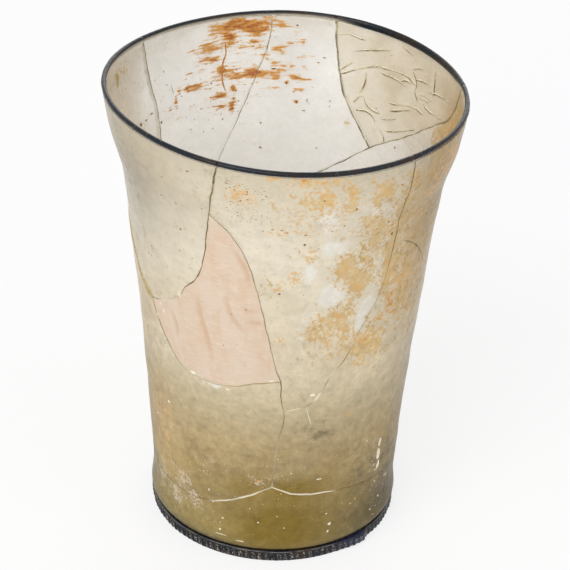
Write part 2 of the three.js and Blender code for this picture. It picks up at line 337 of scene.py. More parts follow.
def wrapped(step):
    """A step on the flat, taken the short way round the girth."""
    return np.stack([step[..., 0] - GIRTH * np.round(step[..., 0] / GIRTH), step[..., 1]], axis=-1)


def run_of(line):
    """How far along the line each of its places is."""
    steps = np.linalg.norm(np.diff(line, axis=0), axis=1)
    return np.concatenate([[0], np.cumsum(steps)])


def across_of(line):
    """The direction across the line at each of its places."""
    along = np.gradient(line, axis=0)
    along /= np.linalg.norm(along, axis=1, keepdims=True)
    return np.stack([-along[:, 1], along[:, 0]], axis=1)


def smooth_line(points, step):
    """An even run of places on a smooth curve through the points, which it keeps."""
    run = run_of(points)
    slopes = np.gradient(points, run, axis=0)
    stretches = []
    for i, length in enumerate(np.diff(run)):
        count = max(1, round(length / step))
        t = np.arange(count)[:, None] / count
        start = (2 * t**3 - 3 * t**2 + 1) * points[i] + (t**3 - 2 * t**2 + t) * length * slopes[i]
        end = (3 * t**2 - 2 * t**3) * points[i + 1] + (t**3 - t**2) * length * slopes[i + 1]
        stretches.append(start + end)
    return np.vstack([*stretches, points[-1:]])


def ragged(line, forks, rng):
    """The line with a small wander to its sides, which dies out at the forks."""
    phases = rng.uniform(0, 2 * math.pi, len(WANDER))
    run = run_of(line)
    wander = sum(
        size * np.sin(2 * math.pi * run / length + phase) for (size, length), phase in zip(WANDER, phases)
    )
    room = np.linalg.norm(wrapped(line[:, None] - forks[None]), axis=2).min(axis=1)
    fade = np.clip(room / WANDER_FADE, 0, 1)
    return line + across_of(line) * (wander * fade)[:, None]


def crack_lines():
    """Every crack as a fine, slightly ragged line on the flat."""
    rng = np.random.default_rng(23)
    coarse = {name: unroll(points) for name, points in CRACKS.items()}
    forks = np.vstack([line[[0, -1]] for line in coarse.values()])
    return {name: ragged(smooth_line(line, CRACK_STEP), forks, rng) for name, line in coarse.items()}


CRACK_LINES = crack_lines()


def below_edge(line):
    """The line cut off at the wall's top edge."""
    if line[0, 1] <= EDGE_HEIGHT:
        return line
    first = np.argmax(line[:, 1] <= EDGE_HEIGHT)
    above, below = line[first - 1], line[first]
    share = (EDGE_HEIGHT - below[1]) / (above[1] - below[1])
    return np.vstack([below + (above - below) * share, line[first:]])


def nearest_distance(places, line):
    """How far each place is from the nearest place of the line."""
    chunks = np.array_split(places, 1 + len(places) // CHUNK)
    gaps = [wrapped(chunk[:, None] - line[None]) for chunk in chunks]
    return np.concatenate([np.linalg.norm(gap, axis=2).min(axis=1) for gap in gaps])


def scattered(low, high, spacing, rng):
    """Jittered rows of places in a window of the flat."""
    wide, tall = high[0] - low[0], high[1] - low[1]
    columns = round(wide / spacing)
    rows = round(tall / (spacing * math.sqrt(3) / 2))
    column, row = np.meshgrid(np.arange(columns), np.arange(1, rows))
    u = low[0] + (column + row % 2 / 2) * wide / columns
    v = low[1] + row * tall / rows
    places = np.stack([u, v], axis=-1).reshape(-1, 2)
    return places + rng.uniform(-JITTER, JITTER, places.shape) * spacing


def clear_of(places, windows, spacing):
    """The places that lie outside every window, by a margin that keeps their triangles well shaped."""
    for low, high in windows:
        middle, reach = (low + high) / 2, (high - low) / 2 + WINDOW_MARGIN * spacing
        places = places[(np.abs(wrapped(places - middle)) > reach).any(axis=1)]
    return places


def wall_places():
    """Places to fill the wall with, fine where there are folds, and clear of the cracks."""
    rng = np.random.default_rng(37)
    coarse = scattered((0, JOIN_HEIGHT), (GIRTH, EDGE_HEIGHT), WALL_SPACING, rng)
    windows, groups = [], []
    for low, high, spacing in FINE_WINDOWS:
        window = unroll_mm((low, high))
        groups.append((clear_of(scattered(*window, spacing, rng), windows, spacing), spacing))
        windows.append(window)
    groups.append((clear_of(coarse, windows, WALL_SPACING), WALL_SPACING))
    cracks = np.vstack(list(CRACK_LINES.values()))
    kept = [places[nearest_distance(places, cracks) > spacing / 2] for places, spacing in groups]
    places = np.vstack(kept)
    places[:, 0] %= GIRTH
    return places


def flat_net():
    """The points of the flat wall, the edges its triangles have to keep, and how many of those are cracks."""
    points, edges = [], []

    def add_line(line):
        first = len(points)
        points.extend(map(tuple, line))
        edges.extend((first + i, first + i + 1) for i in range(len(line) - 1))

    for line in CRACK_LINES.values():
        for shift in (-GIRTH, 0, GIRTH):
            add_line(line + (shift, 0))
    crack_edges = len(edges)
    ring_step = GIRTH / RING_COUNT
    spare = math.ceil(SEAM_MARGIN / ring_step)
    across = np.arange(-spare, RING_COUNT + spare + 1) * ring_step
    for height in (JOIN_HEIGHT, EDGE_HEIGHT):
        add_line(np.stack([across, np.full_like(across, height)], axis=1))
    inside = wall_places()
    points.extend(map(tuple, inside))
    points.extend(map(tuple, inside[inside[:, 0] < SEAM_MARGIN] + (GIRTH, 0)))
    points.extend(map(tuple, inside[inside[:, 0] > GIRTH - SEAM_MARGIN] - (GIRTH, 0)))
    return points, edges, crack_edges


def same_way_round(faces, flat):
    """The triangles with their corners in one sense."""
    ax, ay = (flat[faces[:, 1]] - flat[faces[:, 0]]).T
    bx, by = (flat[faces[:, 2]] - flat[faces[:, 0]]).T
    turned = ax * by < ay * bx
    faces[turned] = faces[turned][:, ::-1]
    return faces


def neighbours_of(triangles, walls):
    """For each triangle, the ones across its edges, where the edge is no wall."""
    beside = {}
    for index, triangle in enumerate(triangles.tolist()):
        for a, b in zip(triangle, triangle[1:] + triangle[:1]):
            beside.setdefault(tuple(sorted((a, b))), []).append(index)
    neighbours = [[] for _ in triangles]
    for edge, pair in beside.items():
        if edge not in walls and len(pair) == 2:
            neighbours[pair[0]].append(pair[1])
            neighbours[pair[1]].append(pair[0])
    return neighbours


def reached(start, neighbours):
    """The triangles that can be reached from one of them, in order."""
    found, front = {start}, {start}
    while front:
        front = {n for index in front for n in neighbours[index]} - found
        found |= front
    return sorted(found)


def lay_out_wall():
    """The flat wall parted along its cracks: the places of its corners, and the triangles of each piece."""
    points, edges, crack_edges = flat_net()
    corners, made_edges, faces, _, edge_sources, _ = delaunay_2d_cdt(
        [Vector(point) for point in points], edges, [], 0, NET_EPSILON
    )
    flat = np.array([tuple(corner) for corner in corners])
    keys = np.round(np.stack([flat[:, 0] % GIRTH, flat[:, 1]], axis=1), NET_DIGITS)
    keys[:, 0] %= GIRTH
    places, same = np.unique(keys, axis=0, return_inverse=True)
    same = same.ravel()
    faces = same_way_round(np.array(faces), flat)
    middle = flat[faces].mean(axis=1)
    u, v = middle.T
    shown = (u >= 0) & (u < GIRTH) & (v > JOIN_HEIGHT) & (v < EDGE_HEIGHT)
    triangles = same[faces[shown]]
    walls = {
        tuple(sorted((same[a], same[b])))
        for (a, b), sources in zip(made_edges, edge_sources)
        if any(source < crack_edges for source in sources)
    }
    neighbours = neighbours_of(triangles, walls)
    pieces = {}
    for name, seed in WALL_PIECES.items():
        start = int(np.argmin(np.linalg.norm(wrapped(middle[shown] - unroll([seed])), axis=1)))
        pieces[name] = triangles[reached(start, neighbours)]
    return places, pieces


# The folds: how their sizes vary, where they taper out, and the dip beside each
FOLD_SIZES = (0.6, 1.2)
FOLD_END = 0.04
FOLD_DIP = 0.55
FOLD_DIP_OFFSET = 1.4


def fold_lift(flat, lines, height, width):
    """How far folds along the lines lift the film: up on the line, and down beside it on one side."""
    lift = np.zeros(len(flat))
    rng = np.random.default_rng(41)
    for points in lines:
        line = smooth_line(unroll_mm(points), width)
        size = height * rng.uniform(*FOLD_SIZES)
        across = across_of(line)
        gap = wrapped(flat[:, None] - line[None])
        nearest = np.linalg.norm(gap, axis=2).argmin(axis=1)
        chosen = gap[np.arange(len(flat)), nearest]
        side = (chosen * across[nearest]).sum(axis=1) / width
        off_end = np.sqrt(np.maximum((chosen**2).sum(axis=1) / width**2 - side**2, 0))
        run = nearest / (len(line) - 1)
        taper = np.sin(math.pi * np.clip(run, FOLD_END, 1 - FOLD_END)) ** 0.5 * np.exp(-(off_end**2))
        dip = FOLD_DIP * np.exp(-((side - FOLD_DIP_OFFSET) ** 2))
        lift += size * taper * (np.exp(-(side**2)) - dip)
    return lift


def lift_for(name, flat):
    """How far the surface of a piece stands off the even wall."""
    if name == "fill_clear":
        return fold_lift(flat, WRINKLES, WRINKLE_HEIGHT, WRINKLE_WIDTH)
    if name == "fill_pink":
        return fold_lift(flat, STREAKS, -STREAK_DEPTH, STREAK_WIDTH)
    return np.zeros(len(flat))


class Shell:
    """The mesh of one piece: its points and faces, and where on the wall each point is."""

    def __init__(self):
        self.points = np.zeros((0, 3))
        self.flat = np.zeros((0, 2))
        self.inside = np.zeros(0)
        self.broken = np.zeros(0)
        self.faces = []

    def add(self, points, flat, inside, broken=False):
        """Points with their places on the flat, on the inside or not, and on a broken edge or not."""
        first = len(self.points)
        self.points = np.vstack([self.points, points])
        self.flat = np.vstack([self.flat, flat])
        self.inside = np.concatenate([self.inside, np.full(len(points), float(inside))])
        self.broken = np.concatenate([self.broken, np.full(len(points), broken, float)])
        return first + np.arange(len(points))

    def band(self, upper, lower, close=False):
        """Quads between two rows of points, upper to lower."""
        after_upper, after_lower = np.roll(upper, -1), np.roll(lower, -1)
        count = len(upper) if close else len(upper) - 1
        quads = np.stack([upper, lower, after_lower, after_upper], axis=1)[:count]
        self.faces.extend(quads.tolist())


def border_of(triangles):
    """The directed edges that only one triangle has."""
    directed = np.vstack([triangles[:, [0, 1]], triangles[:, [1, 2]], triangles[:, [2, 0]]]).tolist()
    known = set(map(tuple, directed))
    return np.array([edge for edge in directed if (edge[1], edge[0]) not in known])


def into_piece(flat, border):
    """The direction into the piece at each corner on the border, and nought at the other corners."""
    step = wrapped(flat[border[:, 1]] - flat[border[:, 0]])
    normal = np.stack([-step[:, 1], step[:, 0]], axis=1) / np.linalg.norm(step, axis=1, keepdims=True)
    inward = np.zeros_like(flat)
    np.add.at(inward, border[:, 0], normal)
    np.add.at(inward, border[:, 1], normal)
    length = np.linalg.norm(inward, axis=1, keepdims=True)
    return np.divide(inward, length, out=np.zeros_like(inward), where=length > 0)


def wall_shell(name, places, triangles, rng):
    """A piece of the wall with its two faces and its broken edges, and the rings where its bottom is open."""
    used, local = np.unique(triangles, return_inverse=True)
    local = local.reshape(-1, 3)
    flat = places[used]
    border = border_of(local)
    at_edge = np.abs(flat[:, 1] - EDGE_HEIGHT) < BEVEL / 4
    at_join = np.abs(flat[:, 1] - JOIN_HEIGHT) < BEVEL / 4
    open_edge = at_join[border].all(axis=1)
    top_edge = at_edge[border].all(axis=1)
    broken = border[~open_edge & ~top_edge]

    inward = into_piece(flat, broken)
    inward[at_edge | at_join, 1] = 0
    chips = 1 + CHIPPING * rng.random(len(flat))
    cut = inward * (chips * CRACK_GAP / 2)[:, None]
    round_off = (inward + np.where(at_edge, -1, 0)[:, None] * (0, 1)) * BEVEL
    lift = lift_for(name, flat)
    thickness = wall_thickness(flat[:, 1])

    shell = Shell()
    outer_flat = flat + cut + round_off
    outer = shell.add(on_wall(outer_flat, 0, lift), outer_flat, False)
    inner = shell.add(on_wall(outer_flat, thickness, lift), outer_flat, True)
    shell.faces.extend(outer[local].tolist())
    shell.faces.extend(inner[local[:, ::-1]].tolist())
    side, side_local = np.unique(border[~open_edge], return_inverse=True)
    mid_flat = (flat + cut)[side]
    cracked = np.isin(side, broken)
    upper = shell.add(on_wall(mid_flat, BEVEL, lift[side]), mid_flat, False, cracked)
    lower = shell.add(on_wall(mid_flat, thickness[side] - BEVEL, lift[side]), mid_flat, True, cracked)
    a, b = side_local.reshape(-1, 2).T
    for high, low in ((outer[side], upper), (upper, lower), (lower, inner[side])):
        shell.faces.extend(np.stack([high[b], high[a], low[a], low[b]], axis=1).tolist())
    ring = np.nonzero(at_join)[0]
    ring = ring[np.argsort(flat[ring, 0])]
    return shell, outer[ring], inner[ring]


# The rows of the base below the laid-out wall
JOIN_ROWS = 4
HEEL_ROWS = 7
KICK_ROWS = 30
FILLET_ROWS = 4
SCAR_RADIUS = 8.5
SCAR_WIDTH = 1.1
SCAR_HEIGHT = 0.7
SCAR_UNEVEN = ((0.35, 2, 0.6), (0.25, 5, 2), (0.15, 11, 0))
SCAR_WANDER = ((0.5, 3, 1),)


def shares(count):
    """Even shares from just above 0 to 1."""
    return np.arange(1, count + 1) / count


def heel_profile():
    """(radius, height) of the outside from the laid-out wall down, round the heel and under the kick."""
    down = JOIN_HEIGHT + (HEEL_HEIGHT - JOIN_HEIGHT) * shares(JOIN_ROWS)
    wall = np.stack([outer_radius(down), down], axis=1)
    turn = (1 - shares(HEEL_ROWS)) * math.pi / 2
    heel = np.stack([
        SEAT_RADIUS + SEAT_INSET * np.sin(turn),
        HEEL_HEIGHT - (HEEL_HEIGHT - SEAT_HEIGHT) * np.cos(turn),
    ], axis=1)
    r = SEAT_RADIUS * (1 - shares(KICK_ROWS)[:-1])
    kick = np.stack([r, SEAT_HEIGHT + kick_height(r)], axis=1)
    return np.vstack([wall, heel, kick]), len(wall)


def floor_profile():
    """(radius, height) of the inside from the laid-out wall down, round the fillet and over the floor."""
    inner_heel = SEAT_HEIGHT + FLOOR_THICKNESS + FLOOR_FILLET
    down = JOIN_HEIGHT + (inner_heel - JOIN_HEIGHT) * shares(JOIN_ROWS)
    wall = np.stack([outer_radius(down) - wall_thickness(down), down], axis=1)
    floor_edge = SEAT_RADIUS - FLOOR_THICKNESS / 2
    start, end = wall[-1], np.array([floor_edge, SEAT_HEIGHT + FLOOR_THICKNESS + kick_height(floor_edge)])
    corner = np.array([start[0], end[1]])
    t = shares(FILLET_ROWS)[:, None]
    fillet = (1 - t) ** 2 * start + 2 * t * (1 - t) * corner + t**2 * end
    r = floor_edge * (1 - shares(KICK_ROWS)[:-1])
    floor = np.stack([r, SEAT_HEIGHT + FLOOR_THICKNESS + kick_height(r)], axis=1)
    return np.vstack([wall, fillet, floor]), 0


def pontil_scar(bearing, r):
    """The rough ring left where the rod was broken off, which hangs below the kick."""
    height = SCAR_HEIGHT * (1 + waves_round(bearing, SCAR_UNEVEN))
    middle = SCAR_RADIUS + waves_round(bearing, SCAR_WANDER)
    return height * np.exp(-(((r - middle) / SCAR_WIDTH) ** 2))


def add_base_rows(shell, ring, profile, outward):
    """Rings of points from the laid-out wall's lower edge to the middle of the kick."""
    rows, wall_rows = profile
    bearings = shell.flat[ring, 0] / UNROLLED
    above = ring
    for number, (r, z) in enumerate(rows):
        drop = pontil_scar(bearings, r) if outward and number >= wall_rows + HEEL_ROWS else 0
        flat = np.stack([bearings * UNROLLED, np.full(len(ring), z)], axis=1)
        hidden = not outward or number >= wall_rows
        row = shell.add(around(bearings, r, z - drop), flat, hidden)
        upper, lower = (above, row) if outward else (row, above)
        shell.band(upper, lower, close=True)
        above = row
    height = SEAT_HEIGHT + KICK_RISE + (0 if outward else FLOOR_THICKNESS)
    tip = shell.add(np.array([[0, 0, height]]), np.array([[0, height]]), True)[0]
    after = np.roll(above, -1)
    fans = np.stack([above, np.full(len(above), tip), after], axis=1)
    shell.faces.extend((fans if outward else fans[:, ::-1]).tolist())


def sweep(rings, closed=False):
    """Points and faces of a solid swept through rings of points."""
    count, sides = rings.shape[:2]
    index = np.arange(count * sides).reshape(count, sides)
    here, there = (index, np.roll(index, -1, axis=0)) if closed else (index[:-1], index[1:])
    quads = np.stack([here, there, np.roll(there, -1, axis=1), np.roll(here, -1, axis=1)], axis=-1)
    faces = quads.reshape(-1, 4).tolist()
    if not closed:
        faces += [index[0].tolist(), index[-1, ::-1].tolist()]
    return rings.reshape(-1, 3), faces


def joined(parts):
    """Several (points, faces, a value or a place for each point) as one."""
    points, faces, values = [], [], []
    count = 0
    for more_points, more_faces, more_values in parts:
        points.append(more_points)
        faces += [[corner + count for corner in face] for face in more_faces]
        values.append(more_values)
        count += len(more_points)
    return np.concatenate(points), faces, np.concatenate(values)


# The two faces of the wall, for what lies on it
OUTSIDE = "outside"
INSIDE = "inside"

# A low bead of glue: its root in the wall, how its width swells and shrinks, and how much its height follows
BEAD_ROOT = 0.04
BEAD_UNEVEN = 0.25
BEAD_WAVES = (3.1, 1.7)
BEAD_PHASES = (0, 6)
BEAD_HEIGHT_SHARE = 0.4
# The least share of its size that a tapered line has at its ends, before the root is taken
TAPER_END = 0.05


def tapered(run, reach):
    """1 along a line, and less within reach of its ends."""
    return np.sqrt(np.clip(np.minimum(run, run[-1] - run) / reach, TAPER_END, 1))


def bead(line, half_width, rise, rng, side, taper=0.0):
    """A bead along a line on the flat: points, faces, and each point's place on the flat."""
    run = run_of(line)
    long_wave, short_wave = (np.sin(run / length + rng.uniform(*BEAD_PHASES)) for length in BEAD_WAVES)
    uneven = 1 + BEAD_UNEVEN * long_wave * short_wave
    if taper:
        uneven = uneven * tapered(run, taper)
    thickness = wall_thickness(line[:, 1])
    width = half_width * (uneven + marks_at(line, BROAD))
    height = rise * (1 - BEAD_HEIGHT_SHARE + BEAD_HEIGHT_SHARE * uneven)
    middle = np.zeros(len(line))
    corners = [(-width, middle), (middle, -height), (width, middle), (middle, middle + BEAD_ROOT)]
    if side == INSIDE:
        corners = [(offset, thickness - depth) for offset, depth in corners[::-1]]
    across = across_of(line)
    flat = np.stack([line + across * offset[:, None] for offset, _ in corners], axis=1)
    depth = np.stack([depth for _, depth in corners], axis=1)
    points, faces = sweep(on_wall(flat, depth))
    return points, faces, flat.reshape(-1, 2)


# A sharp crease of the clear fill, across it as (share of the half width, share of the rise, shade: 1 for a painted
# highlight, -1 for a painted shadow)
CREASE_STEP = 0.5
CREASE_WIDTH = 0.72
CREASE_RISE = 0.25
CREASE_SECTION = (
    (-0.8, 0, 0), (-0.4, 0.8, 1), (-0.1, 1, 1), (0.1, 0.35, -1), (0.6, 0.15, -1), (1, 0, 0), (0, -0.3, 0),
)
CREASE_TAPER = 1.8
CREASE_SIZE = 0.8
CREASE_UNEVEN = 0.3
CREASE_WAVE = 2.3


def crease(line):
    """Points, faces and shades of a crease, with painted light on its upper left side and painted shade on its lower
    right one, seen from inside.
    """
    run = run_of(line)
    across = across_of(line)
    section = CREASE_SECTION[::-1]
    if across.mean(axis=0) @ (1, 1) > 0:
        across = -across
        section = CREASE_SECTION
    uneven = CREASE_SIZE + CREASE_UNEVEN * np.sin(run / CREASE_WAVE + line[0, 0])
    shrink = uneven * tapered(run, CREASE_TAPER)
    depth = wall_thickness(line[:, 1])
    lift = lift_for("fill_clear", line)
    rings = []
    for side, rise, _ in section:
        offset = across * (side * CREASE_WIDTH * shrink)[:, None]
        rings.append(on_wall(line + offset, depth + rise * CREASE_RISE * shrink, lift))
    points, faces = sweep(np.stack(rings, axis=1))
    return points, faces, np.tile([shade for _, _, shade in section], len(line))


# A small crust is a low dome with a ragged edge, full height only where it is wide
SPOT_CORNERS = 9
SPOT_RISE = 0.08
SPOT_SINK = 0.05
SPOT_RAGGED = 0.3
SPOT_FULL_WIDTH = 0.4
SPOT_SHOULDER_WIDTH = 0.5
SPOT_SHOULDER_RISE = 0.8
# How wide a strewn crust is for its height on the wall
STREWN_STRETCH = (0.8, 1.5)


def spot_faces(side):
    """The faces of one crust: an edge row, a shoulder row, a crown and a root."""
    crown = 2 * SPOT_CORNERS
    root = crown + 1
    faces = []
    for a in range(SPOT_CORNERS):
        b = (a + 1) % SPOT_CORNERS
        c, d = b + SPOT_CORNERS, a + SPOT_CORNERS
        faces += [[a, b, c, d], [d, c, crown], [b, a, root]]
    return faces if side == OUTSIDE else [face[::-1] for face in faces]


def spots(places, side, rng):
    """Points and faces of small crusts at (bearing, height, half width, half height)."""
    turn = 2 * math.pi * np.arange(SPOT_CORNERS) / SPOT_CORNERS
    circle = np.stack([np.cos(turn), np.sin(turn)], axis=1)
    one = spot_faces(side)
    parts = []
    for bearing, z, half_width, half_height in places:
        ragged_edge = 1 + rng.uniform(-SPOT_RAGGED, SPOT_RAGGED, SPOT_CORNERS)
        edge = circle * (half_width, half_height) * ragged_edge[:, None]
        flat = np.vstack([edge, edge * SPOT_SHOULDER_WIDTH, [[0, 0], [0, 0]]]) + (bearing * UNROLLED, z)
        rise = SPOT_RISE * min(1, half_width / SPOT_FULL_WIDTH)
        shoulder = SPOT_SHOULDER_RISE * rise
        rises = np.array([0] * SPOT_CORNERS + [shoulder] * SPOT_CORNERS + [rise, -SPOT_SINK])
        depth = -rises if side == OUTSIDE else wall_thickness(flat[:, 1]) + rises
        parts.append((on_wall(flat, depth), one, flat))
    points, faces, _ = joined(parts)
    return points, faces


def strewn(windows, rng):
    """Small crusts strewn at random over windows of the wall."""
    places = []
    for count, low, high, least, most in windows:
        for _ in range(count):
            bearing = rng.uniform(low[0], high[0])
            z = rng.uniform(low[1], high[1])
            size = least + (most - least) * rng.random() ** 2
            places.append((bearing, z, size * rng.uniform(*STREWN_STRETCH), size))
    return places


# The rim thread: an uneven dark trail, thickest over the clear fill
RIM_STEPS_PER_DEGREE = 0.9
RIM_SIDES = 14
RIM_UNEVEN = ((0.05, 3, 1.2), (0.05, 8, 4), (0.04, 17, 2.2), (0.03, 41, 0.4))
RIM_SWELL = 0.6
RIM_SWELL_FROM = 96
RIM_SWELL_TO = 168
RIM_SWELL_FADE = 14
RIM_END = 0.15
RIM_END_STEPS = 3
RIM_END_SQUARE = 0.8
RIM_GAP = 0.02
# The side of the thread that pale film covers, in degrees round its section from outward by upward
RIM_LIP_MIDDLE = 218
RIM_LIP_SPREAD = (0.72, 0.92)


def rim_crossings():
    """The bearings where cracks break the rim, in order round it."""
    middle = HEIGHT - RIM_THREAD_DIAMETER / 2
    found = []
    for line in CRACK_LINES.values():
        if line[0, 1] > HEIGHT:
            found.append(np.interp(middle, line[::-1, 1][-6:], line[::-1, 0][-6:]) / UNROLLED)
    return np.sort(np.array(found) % 360)


def smooth_step(value, low, high):
    t = np.clip((value - low) / (high - low), 0, 1)
    return t * t * (3 - 2 * t)


def rim_thread(bearing_inside, crossings):
    """One length of the rim thread, between the two cracks beside a bearing."""
    inside = bearing_inside % 360
    after = crossings[np.searchsorted(crossings, inside) % len(crossings)]
    before = crossings[np.searchsorted(crossings, inside) - 1]
    if before > inside:
        before -= 360
    if after < inside:
        after += 360
    trim = math.degrees(RIM_GAP / 2 / RIM_MIDDLE)
    before, after = before + trim, after - trim
    bearing = np.linspace(before, after, max(12, round((after - before) * RIM_STEPS_PER_DEGREE)))
    end_steps = np.degrees(RIM_END / RIM_MIDDLE) * shares(RIM_END_STEPS)
    bearing = np.sort(np.concatenate([bearing, before + end_steps, after - end_steps]))
    to_end = np.radians(np.minimum(bearing - before, after - bearing)) * RIM_MIDDLE
    rounding = RIM_END_SQUARE + (1 - RIM_END_SQUARE) * np.sqrt(np.clip(to_end / RIM_END, 0, 1))
    uneven = sum(size * np.sin(turns * np.radians(bearing) + phase) for size, turns, phase in RIM_UNEVEN)
    swell = smooth_step(bearing, RIM_SWELL_FROM, RIM_SWELL_FROM + RIM_SWELL_FADE)
    swell = swell * smooth_step(-bearing, -RIM_SWELL_TO, RIM_SWELL_FADE - RIM_SWELL_TO)
    half = RIM_THREAD_DIAMETER / 2
    wide = half * (0.97 + uneven) * rounding
    tall = half * (0.97 - uneven / 2 + RIM_SWELL * swell) * rounding
    turn = 2 * math.pi * np.arange(RIM_SIDES) / RIM_SIDES
    middle = HEIGHT - half * (1 + RIM_SWELL * swell)
    r = RIM_MIDDLE + wide[:, None] * np.cos(turn)
    z = middle[:, None] + tall[:, None] * np.sin(turn)
    points, faces = sweep(around(bearing[:, None], r, z)[:, ::-1])
    low_side = np.clip(-np.sin(turn[::-1]), 0, 1)
    blue = swell[:, None] * low_side
    lip_side = smooth_step(np.cos(turn[::-1] - math.radians(RIM_LIP_MIDDLE)), *RIM_LIP_SPREAD)
    lip = (1 - swell[:, None]) * lip_side
    return points, faces, {"blue": blue.ravel(), "lip": lip.ravel()}


# The foot thread: notched by the milling wheel, with a smooth top band along which a highlight is painted
STEPS_PER_NOTCH = 8
NOTCH_SLANT = 0.9
FOOT_HIGHLIGHT_HEIGHT = 4.0
FOOT_HIGHLIGHT_SPREAD = 0.22


def foot_thread(rng):
    """The milled thread as one closed ring, and how deep in a notch each of its points is."""
    outer = HEEL_RADIUS - FOOT_THREAD_OUTSET
    inner = outer - FOOT_THREAD_WIDTH
    flat_edge = inner + FOOT_FLAT_WIDTH
    # Each corner of the section as (radius, height, share of the notch cut there, share of the swell)
    section = (
        (inner, 0, 0, 0), (inner + 1.4, 0, 0, 0), (flat_edge - 0.5, 0, 0, 0), (flat_edge, 0.05, 0, 0),
        (outer - 0.35, 0.3, 0.6, 0.5), (outer - 0.08, 0.75, 0.95, 0.9), (outer, 1.3, 1, 1), (outer, 2.1, 1, 1),
        (outer, 2.7, 1, 1), (outer - 0.02, 3.2, 0.9, 1), (outer - 0.04, 3.55, 0.45, 1), (outer - 0.08, 3.8, 0.1, 1),
        (outer - 0.3, 4.1, 0, 0.7), (outer - 0.7, 4.4, 0, 0.3), (outer - 1.2, 4.6, 0, 0),
        (outer - 2, 4.45, 0, 0), (inner + 0.5, 3.6, 0, 0), (inner, 2.4, 0, 0),
    )
    radius, height, notch, swell = np.array(section, float).T
    steps = NOTCH_COUNT * STEPS_PER_NOTCH
    depth = rng.uniform(0.65, 1.1, NOTCH_COUNT)
    shift = rng.uniform(-0.12, 0.12, NOTCH_COUNT)
    bearing = np.arange(steps) * 360 / steps
    slanted = bearing[:, None] + NOTCH_SLANT * height / FOOT_THREAD_HEIGHT
    phase = slanted * NOTCH_COUNT / 360
    number = np.floor(phase).astype(int) % NOTCH_COUNT
    within = np.clip(phase % 1 + shift[number] - 0.5, -0.5, 0.5)
    cut = depth[number] * np.cos(math.pi * within) ** 1.6
    laid_over = smooth_step(bearing, THREAD_END_START, THREAD_END_PEAK)
    laid_over = laid_over - smooth_step(bearing, THREAD_END_PEAK, THREAD_END_PEAK + THREAD_END_DROP)
    uneven = 0.12 * np.sin(np.radians(bearing) * 7 + 1) + 0.08 * np.sin(np.radians(bearing) * 19)
    notched = NOTCH_DEPTH * cut * notch * (1 - 0.5 * laid_over[:, None])
    r = radius + swell * (THREAD_END_SWELL * laid_over + uneven - 0.12)[:, None] - notched
    points, faces = sweep(around(bearing[:, None], r, np.broadcast_to(height, r.shape)), closed=True)
    lap = np.repeat(laid_over, len(section))
    crest_highlight = np.tile(np.exp(-(((height - FOOT_HIGHLIGHT_HEIGHT) / FOOT_HIGHLIGHT_SPREAD) ** 2)) * (radius > inner + 2), steps)
    return points, faces, {"notch": (cut * notch).ravel(), "lap": lap, "crest_highlight": crest_highlight}


# Marks on the glass as (bearing, height, half width in degrees, half height, strength).
# Flecks of rust on the outside
RUST = (
    (-4, 168, 4, 1.5, 0.6), (5, 168, 3, 1.3, 0.65), (14, 167, 6, 1.8, 0.6), (6, 164, 2, 3, 0.45), (14, 160, 3.5, 3.5, 0.35),
    (22, 159, 1.6, 5, 0.4), (33, 159, 4.5, 4, 0.35), (-13, 159, 5, 3.4, 0.55), (-2, 145, 4.5, 1.3, 0.4),
    (10, 135, 2, 3, 0.45), (24, 128, 4, 5, 0.4), (30, 120, 4.5, 4, 0.45), (43, 126, 2.8, 11, 0.5), (52, 116, 4, 4, 0.65),
    (47, 107, 2.6, 7, 0.85), (42, 103, 2.4, 2, 0.8), (23, 108, 2, 3, 0.5), (37, 95, 5, 2.8, 0.5), (0, 121, 2, 3, 0.6),
    (5, 126, 3.5, 3, 0.6), (1, 99, 2.3, 1.6, 0.6), (-2, 139, 1.7, 1.3, 0.4), (33, 64, 2.7, 2.4, 0.35),
    (34, 51, 2.2, 1.9, 0.4), (54, 53, 2.6, 2.4, 0.45), (66, 48, 3, 3, 0.4), (-9, 35, 2, 1.1, 0.5), (60, 150, 10, 16, 0.4),
    (70, 160, 8, 10, 0.5), (24, 98, 12, 8, 0.36), (12, 152, 16, 12, 0.3), (-34, 150, 14, 14, 0.14),
)
